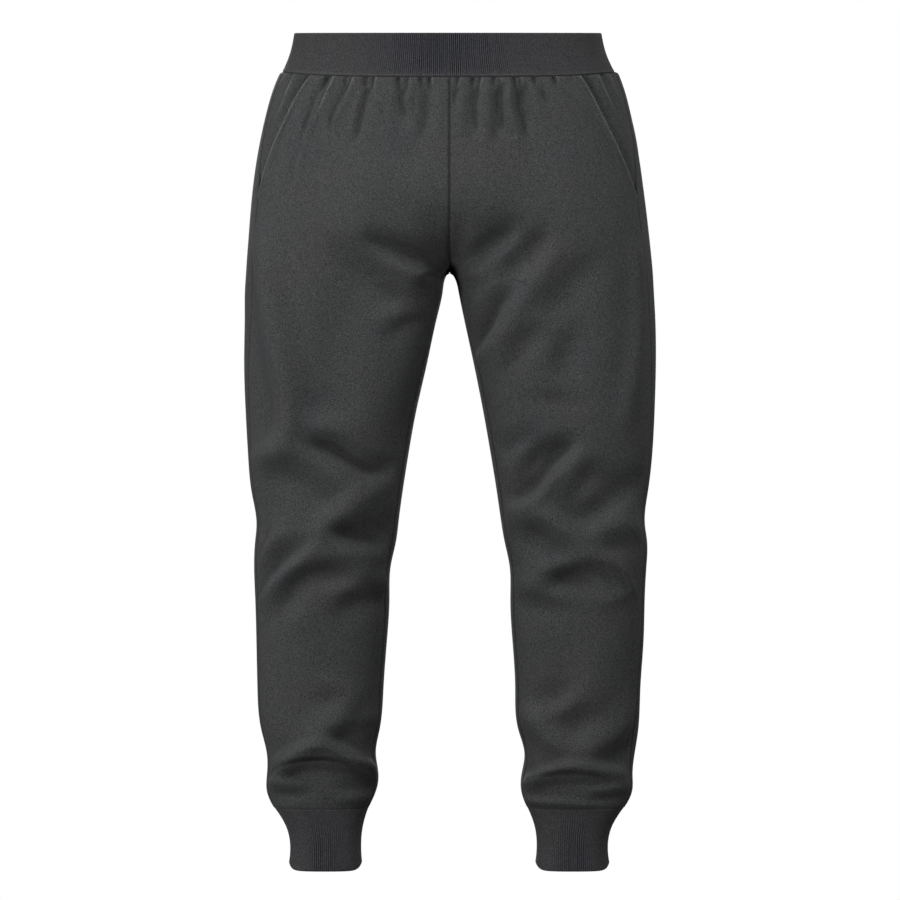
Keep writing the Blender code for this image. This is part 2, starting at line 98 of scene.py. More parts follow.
def add_lamps():
    """Square soft lamps that all face the middle of the garment."""
    for name, place, power in LAMPS:
        lamp = bpy.data.lights.new(name, "AREA")
        lamp.size, lamp.energy = LAMP_SIZE, power
        made = bpy.data.objects.new(name, lamp)
        made.visible_camera = False
        made.location = place
        aim = Vector(LAMP_AIM) - made.location
        made.rotation_euler = aim.to_track_quat("-Z", "Y").to_euler()
        bpy.context.scene.collection.objects.link(made)


def add_surroundings():
    """A world that looks white and gives a weaker, even light."""
    world = bpy.data.worlds.new("paper")
    world.use_nodes = True
    nodes, links = world.node_tree.nodes, world.node_tree.links
    path = nodes.new("ShaderNodeLightPath")
    strength = nodes.new("ShaderNodeMapRange")
    strength.inputs["To Min"].default_value = PAPER_GIVEN
    strength.inputs["To Max"].default_value = PAPER_SEEN
    links.new(path.outputs["Is Camera Ray"], strength.inputs["Value"])
    links.new(strength.outputs["Result"], nodes["Background"].inputs["Strength"])
    nodes["Background"].inputs["Color"].default_value = (1, 1, 1, 1)
    bpy.context.scene.world = world
    bpy.context.scene.view_settings.view_transform = "Standard"


def add_floor():
    """A round pale floor: a fan of points at one radius."""
    turn = np.linspace(0, 2 * np.pi, 96, endpoint=False)
    ring = np.stack([FLOOR_WIDE * np.cos(turn), FLOOR_WIDE * np.sin(turn), 0 * turn - FLOOR_DROP], 1) * MM
    mesh = bpy.data.meshes.new("floor")
    mesh.from_pydata(ring.tolist(), [], [list(range(len(ring)))])
    finish = bpy.data.materials.new("floor_paint")
    finish.use_nodes = True
    paint = finish.node_tree.nodes["Principled BSDF"].inputs
    paint["Base Color"].default_value = (FLOOR_GREY, FLOOR_GREY, FLOOR_GREY, 1)
    paint["Roughness"].default_value = FLOOR_ROUGH
    mesh.materials.append(finish)
    floor = bpy.data.objects.new("floor", mesh)
    floor.visible_diffuse = floor.visible_glossy = False
    bpy.context.scene.collection.objects.link(floor)


add_lamps()
add_surroundings()
add_floor()

# %% [markdown]
# ## The outline of the body
# Trousers are two tubes that grow together at the hips. A lofted surface would need its cross-sections
# joined by hand at the crotch. Instead each height has an outline made of two squared ovals, and a smooth
# minimum merges them: above the crotch it is one shape, below it two, with no join to model.
# `drop` is the distance down from the waist edge. Most of the outer widths, and of the inner ones below the
# crotch, are measured. The depths and the rest are chosen.

# %% Outline table
SECTION_COLUMNS = "drop left_out left_in right_out right_in front back blend seam"
SECTIONS = np.array([
    (40, 196, -196, 194, -194, 83, 91, 1, 0.30),
    (53, 204, -203, 201.5, -201, 86, 95, 1, 0.30),
    (75, 215, -213, 211.5, -210, 91, 102, 1, 0.31),
    (110, 226, -221, 222, -218, 97, 112, 3, 0.32),
    (150, 234.4, -214, 230.8, -212, 101, 121, 10, 0.37),
    (190, 240, -165, 236.6, -164, 104, 126, 20, 0.45),
    (225, 243.3, -105, 241, -104, 103, 126, 22, 0.51),
    (255, 245.5, -50, 244.3, -50, 100, 122, 17, 0.54),
    (280, 247.3, -11, 246.8, -11, 96, 114, 11, 0.55),
    (292, 248, 1.5, 247.8, 2, 94, 110, 9, 0.55),
    (315, 249.4, 8.2, 249.1, 10.9, 91, 104, 8, 0.55),
    (345, 249.6, 14.8, 250.7, 17, 88, 98, 8, 0.54),
    (400, 250.3, 26.7, 251.6, 28.8, 84, 91, 8, 0.50),
    (460, 248.5, 40.3, 250, 40.8, 79, 83, 8, 0.46),
    (520, 245.1, 51, 246.5, 51.3, 74, 73, 8, 0.43),
    (560, 241, 57.2, 241.6, 57.7, 71, 66, 8, 0.42),
    (598, 235, 62.2, 237.9, 63.2, 69, 60, 8, 0.42),
    (620, 236.7, 65.1, 240.6, 67, 67, 57, 8, 0.42),
    (650, 238, 71.6, 239.9, 73.2, 63, 55, 8, 0.42),
    (690, 236.8, 73.2, 238, 74.2, 56, 56, 8, 0.42),
    (740, 235.6, 76.2, 236.8, 76.7, 50, 59, 8, 0.42),
    (800, 234.5, 80.6, 233, 80.2, 44, 62, 8, 0.42),
    (850, 229.9, 85.3, 230.5, 83.9, 40, 61, 8, 0.42),
    (880, 223, 90, 226, 91.6, 37, 59, 8, 0.42),
    (905, 223, 86.8, 223.6, 88, 39, 60, 8, 0.42),
    (925, 223, 89.7, 223, 87.6, 38, 58, 8, 0.42),
    (944, 215, 98, 214, 94, 34, 52, 8, 0.42),
    (960, 205, 105, 202.5, 101.9, 31, 47, 8, 0.42),
])
CORNER_FRONT, CORNER_BACK = 2.6, 2.3  # 2 is an ellipse, higher is squarer
BAND_DROP, CUFF_DROP, HEM_DROP = 53.0, 944.0, 1020.0
TILT = 0.115  # rise of the waist edge towards the back, for each mm of depth
TILT_END, TILT_OVER = 270, 215  # the drop where the tilt ends, and over how much it does
SIDE_RISE = 5.0  # rise of the waistband's seam at the sides
RISE_AT, RISE_OVER = 200, 90  # the x with the full rise, and over how much drop it ends
RAY_SOFT = 12  # rays start midway from the outer edge to max(inner edge, 0), rounded over this much
FAR_ROUND, FAR_DEEP, FAR_WIDE = 400.0, 260.0, 300.0  # beyond the outline, for the halving to start from
HALVINGS = 26


def bell(off, width):
    """A soft mark, 1 in its middle: exp(-(off / width)^2)."""
    return np.exp(-((off / width) ** 2))


def spline(knots, values, at):
    """A natural cubic spline through the knots, one column of values each, at these places."""
    knots, values, at = (np.asarray(a, float) for a in (knots, values, at))
    step = np.diff(knots)
    slope = np.diff(values, axis=0) / step[:, None]
    size = len(knots)
    matrix, right = np.eye(size), np.zeros(values.shape)
    inside = np.arange(1, size - 1)
    matrix[inside, inside - 1] = step[:-1]
    matrix[inside, inside] = 2 * (step[:-1] + step[1:])
    matrix[inside, inside + 1] = step[1:]
    right[inside] = 6 * np.diff(slope, axis=0)
    bend = np.linalg.solve(matrix, right)
    flat = np.clip(at.reshape(-1), knots[0], knots[-1])
    i = np.clip(np.searchsorted(knots, flat) - 1, 0, size - 2)
    h, left, rest = step[i][:, None], (flat - knots[i])[:, None], (knots[i + 1] - flat)[:, None]
    found = (bend[i] * rest**3 + bend[i + 1] * left**3) / (6 * h)
    found += (values[i] / h - bend[i] * h / 6) * rest + (values[i + 1] / h - bend[i + 1] * h / 6) * left
    return found.reshape(at.shape + values.shape[1:])


def named(columns, table, at):
    """The named columns of a table at these drops. The first column is the drop."""
    found = spline(table[:, 0], table[:, 1:], at)
    return SimpleNamespace(**{name: found[..., i] for i, name in enumerate(columns.split()[1:])})


# %% The outline as a field
def section(drop, side):
    """The outline at these drops, seen from one leg: side is -1 for the left of the front view."""
    s = named(SECTION_COLUMNS, SECTIONS, drop)
    own, other = (s.left_out, s.left_in), (s.right_out, s.right_in)
    if side > 0:
        own, other = other, own
    s.own_mid, s.own_half = (own[0] + own[1]) / 2, (own[0] - own[1]) / 2
    s.other_mid, s.other_half = (other[0] + other[1]) / 2, (other[0] - other[1]) / 2
    s.widest = (s.back - s.front) / 3
    s.front, s.back = s.front + s.widest, s.back - s.widest
    s.scale = (s.front + s.back) / 2
    inmost = np.logaddexp(0, own[1] / RAY_SOFT) * RAY_SOFT
    s.ray_x, s.ray_y = (own[0] + inmost) / 2, s.widest
    return s


def field(x, y, s):
    """Distance outside the outline: each leg is a squared oval, (|x|^n + |y|^n)^(1/n) - 1, and the
    smaller of the two is taken, less a bump where they are nearly equal."""
    ahead = y < s.widest
    corner = np.where(ahead, CORNER_FRONT, CORNER_BACK)
    deep = (np.abs(y - s.widest) / np.where(ahead, s.front, s.back)) ** corner
    own = ((np.abs(x - s.own_mid) / s.own_half) ** corner + deep) ** (1 / corner) - 1
    other = ((np.abs(x + s.other_mid) / s.other_half) ** corner + deep) ** (1 / corner) - 1
    near = np.clip(1 - np.abs(own - other) * s.scale / s.blend, 0, 1)
    return np.minimum(own, other) * s.scale - s.blend * near**2 / 4


def reach(x, y, dx, dy, s, most):
    """How far along a direction the outline is crossed, by halving."""
    low, high = np.zeros_like(most), most.copy()
    for _ in range(HALVINGS):
        middle = (low + high) / 2
        inside = field(x + dx * middle, y + dy * middle, s) < 0
        low, high = np.where(inside, middle, low), np.where(inside, high, middle)
    return (low + high) / 2


def on_ray(angle, drop, side):
    """The plain surface where a ray of this angle, from inside the leg, leaves it."""
    s = section(drop, side)
    dx, dy = np.cos(angle), np.sin(angle)
    most = np.where(dx < 0, np.minimum(s.ray_x / np.maximum(-dx, 1e-9), FAR_ROUND), FAR_ROUND)
    far = reach(s.ray_x, s.ray_y, dx, dy, s, most)
    return np.stack([s.ray_x + dx * far, s.ray_y + dy * far, drop + 0 * far], -1)


def at_x(x, drop, side, face):
    """The plain surface at this x: face is -1 for the front and 1 for the back."""
    s = section(drop, side)
    far = reach(x, s.widest, 0.0, face, s, np.full(np.shape(drop), FAR_DEEP))
    return np.stack([x + 0 * far, s.widest + face * far, drop + 0 * far], -1)


def at_y(share, drop, side, way):
    """The plain surface this share of the front depth ahead of the widest line: way 1 is outwards."""
    s = section(drop, side)
    y = s.widest - share * s.front
    far = reach(s.ray_x, y, float(way), 0.0, s, np.where(way > 0, FAR_WIDE, s.ray_x))
    return np.stack([s.ray_x + way * far, y, drop + 0 * far], -1)


def angle_of(point, side):
    """The angle of `on_ray` that leads to a point."""
    s = section(point[..., 2], side)
    return np.arctan2(point[..., 1] - s.ray_y, point[..., 0] - s.ray_x)


# %% From drops to space
def crotch_drop():
    """The drop at which the middle line leaves the outline, by halving."""
    low, high = 270.0, 320.0
    for _ in range(40):
        middle = (low + high) / 2
        s = section(np.array(middle), 1)
        low, high = (middle, high) if field(0.0, s.widest, s) < 0 else (low, middle)
    return (low + high) / 2


CROTCH = crotch_drop()


def placed(point):
    """Plain point to space: the waist edge rises to the back, and the band's seam rises at the sides."""
    x, y, drop = point[..., 0], point[..., 1], point[..., 2]
    high = np.clip((TILT_END - drop) / TILT_OVER, 0, 1)
    under = np.clip(1 - (drop - BAND_DROP) / RISE_OVER, 0, 1) ** 2
    side = (x / RISE_AT) ** 4 * np.where(drop < BAND_DROP, drop / BAND_DROP, under)
    return np.stack([x, y, -drop + TILT * y * high**2 * (3 - 2 * high) + SIDE_RISE * side], -1)


def outward(point, side):
    """Unit normals along (f_x - z_x u, f_y - z_y u, u), where u = f_d / z_d, from the slopes of the field f
    and of the height z with x, y and the drop d."""
    step, slope = 0.5, []
    for axis in range(3):
        move = np.zeros(3)
        move[axis] = step
        ends = [field(p[..., 0], p[..., 1], section(p[..., 2], side)) for p in (point + move, point - move)]
        rise = (placed(point + move) - placed(point - move))[..., 2]
        slope.append(((ends[0] - ends[1]) / (2 * step), rise / (2 * step)))
    up = slope[2][0] / slope[2][1]
    normal = np.stack([slope[0][0] - slope[0][1] * up, slope[1][0] - slope[1][1] * up, up], -1)
    return normal / np.linalg.norm(normal, axis=-1, keepdims=True)


print("crotch", round(CROTCH, 1), "mm below the waist edge")

# %% [markdown]
# ## Folds
# A fold in soft fleece is a long low wave. Simulated cloth would fold somewhere, but not where this pair
# does, so each fold is a line drawn on the plain surface and a wave across it. `swell` is a ridge or a
# hollow along the line. `step` is a ridge on the upper side of it with a hollow below, which is what
# a dark band with a lighter one over it is. The front's lines come out of a separate fitting program, which
# moved lines drawn by eye and wide waves laid out on a grid. Only the back's lines were placed one by one.

# %% Fold tables
# Columns: width, step, swell, then x and drop of each of two to seven points.
FRONT_FOLDS = (
    (4.4, 3, -0.5, -46, 60, -54, 81, -49, 102), (9.2, -0.5, 3.1, -79, 62, -86, 87, -89, 118),
    (5.1, 2, -1.4, -140, 58, -156, 74, -167, 100, -176, 126),
    (4.6, 2.2, -1.1, -117, 58, -128, 79, -139, 102, -141, 118), (6, 0.5, 1.1, -11, 63, -16, 85, -18, 122),
    (4.4, -2.1, -2.5, -92, 57, -102, 76, -110, 106, -115, 133),
    (5.2, -0.8, -1.5, -57, 57, -63, 80, -62, 105, -71, 133),
    (6, -1.8, -2.8, -27, 58, -31, 79, -33, 106, -41, 135),
    (3.5, 0.5, -0.3, -178, 86, -195, 112, -206, 148, -216, 181),
    (8.2, -0.6, -3, -67, 132, -50, 149, -33, 165),
    (4.2, 0.7, 0.5, -159, 86, -174, 125, -185, 175, -196, 217),
    (2.2, 0.3, 0.5, -179, 101, -188, 133, -197, 175, -209, 215),
    (14.1, -0.2, -1.8, -43, 254, -1, 235, 42, 258), (9.6, 2.9, -10.1, -104, 252, -56, 265, 0, 287),
    (6.9, 2, 0.6, -12, 290, -26, 284, -37, 278), (11.9, -5.5, 4.5, -77, 277, -14, 297),
    (16, 1.5, -9, -152, 252, -109, 290, -49, 323), (5.9, 3.5, 0.1, -41, 293, -13, 292, 2, 303),
    (10.7, 1.4, 6, -59, 326, -24, 286, 8, 323), (8.9, 0.2, -2.1, -48, 331, -66, 320, -84, 317),
    (8.9, -1.9, 3, -93, 351, -47, 327), (9.2, 1.9, 0.4, -80, 372, -55, 354, -31, 345),
    (14.4, 6.3, 12.4, -232, 231, -217, 363, -200, 446, -208, 496, -234, 519),
    (14.8, -4.4, 2.5, -176, 465, -120, 472), (15.4, -0.2, 2.5, -76, 556, -38, 478, -26, 392),
    (9.1, 3.1, -11.4, -173, 499, -144, 501, -120, 514, -91, 529, -62, 528),
    (12, -0.2, -4.4, -172, 519, -113, 525), (15.9, 6, 5, -242, 531, -189, 524, -148, 544, -117, 574),
    (13.8, -3.9, 5.8, -176, 621, -128, 570, -68, 536), (13.1, 1.8, 0.8, -149, 607, -101, 594, -53, 582),
    (10.3, -6.3, -7.2, -146, 608, -73, 628), (5.8, -1.9, -0.8, -231, 645, -212, 602),
    (11.4, 4.8, 0.4, -225, 658, -205, 624, -186, 613),
    (7.4, -3.3, -1.1, -235, 695, -212, 660, -184, 635, -158, 612), (10.2, 0.2, 4.4, -149, 685, -89, 649),
    (12.1, 6.2, -1.1, -223, 717, -195, 672, -173, 654, -138, 647, -97, 664),
    (13.3, 3.5, 0.4, -143, 705, -118, 684, -88, 679, -63, 675), (13.4, -1.2, 1.8, -208, 707, -163, 701),
    (11.8, 3.4, 0.5, -161, 800, -123, 804), (12.6, 2.1, 8.1, -186, 870, -142, 842, -106, 799),
    (8.3, -0.1, 2.3, -163, 858, -120, 836, -66, 833),
    (8.3, -4.9, 9.9, -215, 889, -186, 866, -146, 860, -89, 892),
    (8.1, 2, 0.7, -196, 888, -178, 881, -160, 879, -140, 877, -124, 880, -110, 893, -95, 899),
    (6.6, -1.8, 9.9, -213, 908, -194, 887, -165, 877, -134, 881, -105, 890, -81, 911),
    (6.9, -0.1, -0.9, -190, 910, -172, 904, -157, 909), (5.9, -1.9, 2.4, -228, 911, -196, 908, -168, 921),
    (7.2, 0.8, -5, -222, 929, -161, 919), (11.5, -5.4, 1.5, -137, 927, -89, 926),
    (4.5, 0.4, -1.1, -120, 934, -108, 931, -94, 929), (28.4, 2.6, 0.2, -113, 119, -123, 210, -132, 298),
    (30.3, 1.2, 0.8, -52, 116, -47, 210, -53, 302), (29.4, -3.4, 0.3, -180, 120, -193, 211, -205, 302),
    (24, 1.8, -0.7, -60, 253, -55, 360, -83, 452), (31.9, -0.2, 0.9, -199, 259, -201, 360, -205, 461),
    (25, -2.3, -3.4, -111, 259, -142, 360, -154, 467), (30, -2.7, -0.8, -67, 421, -95, 519, -101, 619),
    (31, 1.8, 1.4, -206, 422, -211, 520, -203, 624), (23.9, -1.2, 2.1, -144, 575, -155, 678, -156, 780),
    (29.8, 0.8, 0.2, -201, 580, -204, 680, -203, 780), (30.2, -1, -0.5, -95, 581, -106, 680, -111, 779),
    (30.5, -0.7, 0.4, -156, 740, -158, 835, -156, 930), (27.9, 0.2, 1.5, -205, 741, -199, 835, -198, 930),
    (30.1, -1.2, -0.3, -104, 741, -114, 836, -123, 929), (4.7, -1.5, -0.4, 104, 55, 109, 76, 118, 89),
    (3.4, -0.9, -1.1, 12, 58, 4, 76, 3, 91), (4.7, -1, 1, 128, 55, 134, 75, 154, 91, 171, 117),
    (6.1, 2, -1.8, 92, 62, 96, 85, 101, 113), (4.1, 2, -1, 39, 59, 33, 90, 36, 122),
    (4.9, 3, -0.5, 64, 60, 64, 91, 68, 121), (5.9, -3.6, -0.2, 85, 55, 78, 80, 83, 105, 89, 133),
    (6.1, -1.5, -2.2, 38, 56, 24, 79, 22, 108, 22, 132),
    (6.3, -2.5, -0.3, 59, 56, 52, 80, 51, 110, 49, 137), (4, 0, -1.1, 165, 88, 183, 117, 201, 154),
    (13.8, 2.1, -5.5, 19, 281, 55, 244, 94, 237), (10.9, 2.7, 0.4, 3, 289, 4, 228),
    (10.7, 1.6, -5.7, 53, 285, 85, 266, 117, 243), (10.3, -4.3, -9.2, 26, 290, 53, 271, 83, 245),
    (11.2, -4.8, -5.3, 56, 302, 94, 293, 123, 251), (7.9, -3.4, 0.8, 0, 299, 20, 291, 45, 290),
    (15.8, 2.6, -2, 86, 347, 131, 312, 184, 261), (7.6, 0.1, 2.4, 33, 337, 60, 309),
    (12.1, -8.3, -3.7, 26, 391, 50, 364, 66, 336, 91, 308),
    (20.9, -2.6, -1.4, 132, 261, 124, 362, 141, 466), (12.4, 2.4, 3, 217, 239, 224, 362, 201, 490),
    (11.1, 3.5, 1.7, 56, 422, 83, 370, 113, 355), (8.4, 0.7, -0.9, 77, 401, 114, 365),
    (13.8, 2.8, -1.3, 120, 425, 134, 381, 154, 357), (11, 1.6, -0.8, 88, 439, 164, 447),
    (10, -1, -6.5, 57, 512, 106, 489), (11.8, 4.3, -10.9, 74, 557, 90, 531, 108, 509, 151, 499),
    (11.1, 3, 5.4, 134, 567, 168, 513), (8.4, -7.3, -4.4, 67, 573, 102, 557, 125, 528, 153, 502),
    (13.5, 1, -7.2, 163, 532, 214, 553), (10.9, 0.1, -8.8, 126, 573, 160, 591, 188, 571, 240, 540),
    (9.1, 0.8, -2.8, 171, 590, 234, 553), (12.4, 3.6, 2.7, 180, 617, 200, 607, 239, 616),
    (13.8, 8.3, 1.1, 76, 611, 107, 598, 157, 639), (6.5, 0.5, -1.4, 179, 624, 221, 624),
    (12.7, -0.2, -1.3, 77, 631, 143, 632),
    (11.5, 5, 0.8, 99, 677, 127, 660, 159, 647, 191, 653, 213, 678), (4.7, 1.5, 0.8, 202, 643, 223, 687),
    (9.1, -0.9, -8.6, 119, 660, 178, 674), (11.9, 4.4, -0.3, 79, 681, 143, 695),
    (7.7, 0.6, 2.5, 179, 697, 226, 680), (11.2, -4.1, 2.9, 89, 820, 131, 817, 153, 792),
    (19.9, 1.8, 1.4, 157, 741, 157, 835, 153, 931), (12.6, -0.4, -7, 139, 850, 190, 825),
    (14.3, 4.2, -3.4, 158, 882, 215, 862, 232, 808), (12.9, 6.3, 3.6, 85, 837, 118, 862, 141, 870),
    (16, 6, 7.8, 95, 883, 133, 884, 186, 886),
    (4.3, -0.8, 1.9, 89, 912, 108, 903, 132, 894, 155, 895, 179, 898, 193, 906),
    (7.2, 0.2, 10.7, 87, 923, 108, 903, 130, 895, 150, 892, 193, 897, 216, 903),
    (7.2, -0.9, -1.5, 160, 923, 185, 916, 205, 920), (8.3, 3.2, 1.7, 162, 929, 189, 924, 223, 924),
    (3.4, -2.5, 1.6, 137, 937, 159, 938, 180, 937),
    (8.6, -7.1, 12.7, 83, 930, 113, 936, 163, 939, 200, 946),
    (26.8, 1.8, 0.3, 111, 121, 117, 211, 122, 300), (28.9, 0, 1.9, 52, 260, 66, 360, 82, 461),
    (27.3, -0.9, -0.7, 194, 259, 206, 360, 209, 462), (28.8, -0.6, -1.3, 209, 419, 206, 520, 204, 619),
    (29.5, 0.5, 0.8, 144, 421, 146, 520, 152, 620), (28.7, -0.4, 1, 98, 579, 107, 680, 110, 779),
    (30.4, -1.2, -0.7, 204, 581, 207, 680, 204, 782), (24.9, -2.2, -1.1, 207, 739, 194, 834, 192, 929),
)
BACK_FOLDS = (
    (14, 4, -4.5, -30, 318, -90, 338, -170, 322), (12, -3, 4.5, -36, 352, -100, 372, -180, 350),
    (11, 3, -3, -20, 250, -60, 290, -110, 310), (16, 3, 3, -212, 250, -190, 360, -172, 450),
    (10, 3, -4, -60, 420, -110, 440, -160, 425), (13, 5, 4.5, -222, 560, -170, 585, -110, 575, -70, 600),
    (10, -5, -6, -226, 600, -160, 622, -84, 612), (9, 5, 6, -224, 642, -150, 655, -78, 636),
    (10, -4, -6, -222, 684, -150, 668, -80, 690), (13, 4, 4, -215, 730, -150, 712, -90, 742),
    (14, 3, -3, -205, 800, -150, 786, -96, 776), (9, 5, 6, -214, 866, -150, 850, -92, 872),
    (8, -4, -7, -214, 900, -150, 886, -92, 904), (7, 3, 4.5, -208, 924, -150, 918, -96, 926),
    (15, 4, -5, 26, 322, 84, 344, 160, 318), (12, -4, 4.5, 34, 360, 96, 376, 186, 344),
    (12, 3, -3, 18, 244, 70, 280, 128, 300), (16, -3, 3, 210, 262, 186, 350, 176, 430),
    (11, 4, -4, 70, 450, 120, 432, 168, 452), (12, 5, 4.5, 72, 590, 130, 566, 220, 572),
    (9, -5, -6, 80, 620, 140, 634, 226, 604), (10, 5.5, 6, 78, 652, 150, 664, 228, 640),
    (10, -4, -5, 82, 700, 150, 682, 222, 694), (13, 4, 4, 92, 748, 150, 728, 214, 738),
    (15, 3, -3, 96, 812, 160, 790, 206, 806), (9, 5, 6, 92, 862, 160, 852, 216, 872),
    (8, -4, -7, 92, 898, 156, 888, 216, 904), (7, 3, 4.5, 96, 922, 156, 920, 210, 926),
)


# %% Waves along lines
POINTS_PER_WIDTH, POINTS_MOST = 1.6, 90
SIDE_LIMIT = 0.985  # lines end this far out, as a share of the half width
STEP_GAIN, BLOB_REACH = 1.65, 3.5


def line_on(points, face, width):
    """A smooth line on the plain surface through these x and drop pairs: points about half a width
    apart, the way across at each, and how much of the fold each carries, which fades to both ends."""
    points = np.array(points, float).reshape(-1, 2)
    long = np.linalg.norm(np.diff(points, axis=0), axis=1).sum()
    at = np.linspace(0, len(points) - 1, int(np.clip(POINTS_PER_WIDTH * long / width, 6, POINTS_MOST)))
    if len(points) > 2:
        line = spline(np.arange(len(points)), points, at)
    else:
        line = points[0] + (points[1] - points[0]) * at[:, None]
    side = 1 if line[:, 0].mean() > 0 else -1
    s = section(line[:, 1], side)
    limit = SIDE_LIMIT * (s.own_mid + s.own_half)
    plain = at_x(np.clip(line[:, 0] * side, -limit, limit), line[:, 1], side, face)
    turn = np.array([side, 1, 1])
    space = placed(plain) * turn
    along = np.gradient(space, axis=0)
    across = np.cross(outward(plain, side) * turn, along)
    share = at / at[-1]
    carried = np.linalg.norm(along, axis=1) * (1 - (2 * share - 1) ** 4) / (width * np.sqrt(2 * np.pi))
    return space, across / (np.linalg.norm(across, axis=1, keepdims=True) + 1e-6), carried


def wave(points, width, step, swell, line, across, carried):
    """The height of one fold: a row of soft blobs (swell + 1.65 step s / w) exp(-r2 / 2 w2), s being the
    way across, which add up to one smooth wave along the line."""
    push = np.zeros(len(points))
    low, high = line.min(0) - BLOB_REACH * width, line.max(0) + BLOB_REACH * width
    close = np.nonzero(((points > low) & (points < high)).all(1))[0]
    for place, way, share in zip(line, across, carried):
        off = points[close] - place
        blob = share * np.exp(-(off * off).sum(1) / (2 * width**2))
        push[close] += (swell + STEP_GAIN * step / width * (off @ way)) * blob
    return push


def folded(points):
    """The height of all folds at these points in space."""
    flat = points.reshape(-1, 3)
    push = np.zeros(len(flat))
    for fold in FOLDS:
        push += wave(flat, *fold)
    return push.reshape(points.shape[:-1])


FOLDS = [(width, step, swell) + line_on(line, face, width)
         for table, face in ((FRONT_FOLDS, -1), (BACK_FOLDS, 1)) for width, step, swell, *line in table]
print(len(FOLDS), "folds")

# %% [markdown]
# ## Gathers
# The panels are cut wider than the waistband and pulled in by its elastic, so their top edges pinch into
# small pleats. Each pinch is a narrow hollow that starts at the seam and opens out and fades downwards.
# Between the pinches the cloth puffs out over the seam. A few pleats lie over to one side, with a sharp
# edge, and above each cuff the slack of the leg rolls over in an arc.

# %% Gather tables
# Columns: x at the seam, sideways lean on the way down, length, width, depth.
FRONT_GATHERS = (
    (-188, -6, 14, 2.0, 2.6), (-146, -7, 16, 2.2, 5.2), (-124, -3, 11, 1.8, 2.4),
    (-100, -2, 17, 2.2, 4.6), (-91, -1, 9, 1.4, 2.4), (-61.5, 0, 15, 1.9, 5.4), (-50, 0, 9, 1.4, 2.6),
    (-34.5, 0.5, 13, 2.0, 4.6), (-24, 0, 11, 1.6, 4.4), (9.5, -1, 9, 1.5, 2.2), (28, -1, 13, 1.9, 5.2),
    (36.5, 0, 7, 1.4, 2.4), (53, -0.5, 12, 1.8, 4.4), (77, 2, 17, 1.9, 5.4), (83, 1, 8, 1.4, 2.4),
    (101, 1.5, 13, 1.8, 4.2), (125, 2, 12, 1.9, 4.6), (145, 2, 7, 1.5, 1.6), (184, 6, 14, 2.0, 3.4),
)
BACK_PINCHES = (-188, -171, -154, -133, -117, -98, -79, -61, -46, -28, -12,
                11, 27, 47, 62, 81, 97, 118, 134, 153, 170, 187)
BACK_GATHERS = tuple((x, 0.06 * x, 11 + 3 * np.sin(2.3 * x), 2.0, 2.5 + 0.6 * np.sin(1.7 * x))
                     for x in BACK_PINCHES)
BACK_GATHERS += tuple((x, 0.12 * x, 34 + 12 * np.sin(1.1 * x), 5.0, 1.2 + 0.4 * np.sin(2.9 * x))
                      for x in BACK_PINCHES[::2])
# Columns: x at the seam, x at the end, length, height. The drop faces left where the height is positive.
FRONT_PLEATS = (
    (-196, -208, 18, 1.4), (-187, -214, 60, 2.8), (-139, -166, 60, 2.7), (-115, -128, 32, 1.8),
    (-88, -93, 20, 1.9), (-47, -51, 12, 1.3), (-21.5, -22, 15, 1.6), (13.5, 7, 18, 1.2),
    (38.5, 34, 20, 1.6), (62, 60, 12, 1.0), (85, 86, 15, 1.6), (127, 131, 12, 1.3), (178, 207, 56, -2.0),
    (192, 209, 36, -1.3),
)
PUFF, PUFF_RISE, PUFF_LENGTH = 2.2, 1.4, 26.0
GATHERS_END = 90  # below the waistband
# GATHER_PINCH is the depth, in mm, at which a gather's painted shade is full
GATHER_WIDENS, GATHER_FADES, GATHER_PINCH = 0.6, 1.2, 4
FACE_LAP = 12  # how far past the side the gathers of a face are worked out
PLEAT_EDGE, PLEAT_BACK, PLEAT_FOOT = 0.7, 9.0, 4.0
CREASE_AT, CREASE_WIDE, CREASE_FULL = 1.0, 1.5, 2  # a painted highlight along a pleat's edge
FOOT_AT, FOOT_WIDE, FOOT_FULL = 1.2, 1.6, 4  # a painted shade line along its foot
# Columns: x and drop of the middle, half length, rise of both ends, how much more on the right, height.
FRONT_ARCS = ((-166, 883, 50, 12, -4, 2.4), (142, 899, 50, 9, -2.5, 2.0))
ROLL_AT, ROLL_WIDE, ARC_WIDE = 6, 5, 2.2
# painted shade in each arc's groove, and its width
ARC_SHADE, ARC_SHADE_WIDE = 0.55, 1.8


def pleat(off):
    """Across a pleat: a steep edge e = (1 + tanh(t / edge)) / 2, a long back e exp(-t / back) and a
    hollow foot (1 - e) exp(t / foot) / 2."""
    edge = (1 + np.tanh(off / PLEAT_EDGE)) / 2
    foot = 0.5 * (1 - edge) * np.exp(np.minimum(off, 0) / PLEAT_FOOT)
    return edge * np.exp(-np.maximum(off, 0) / PLEAT_BACK) - foot


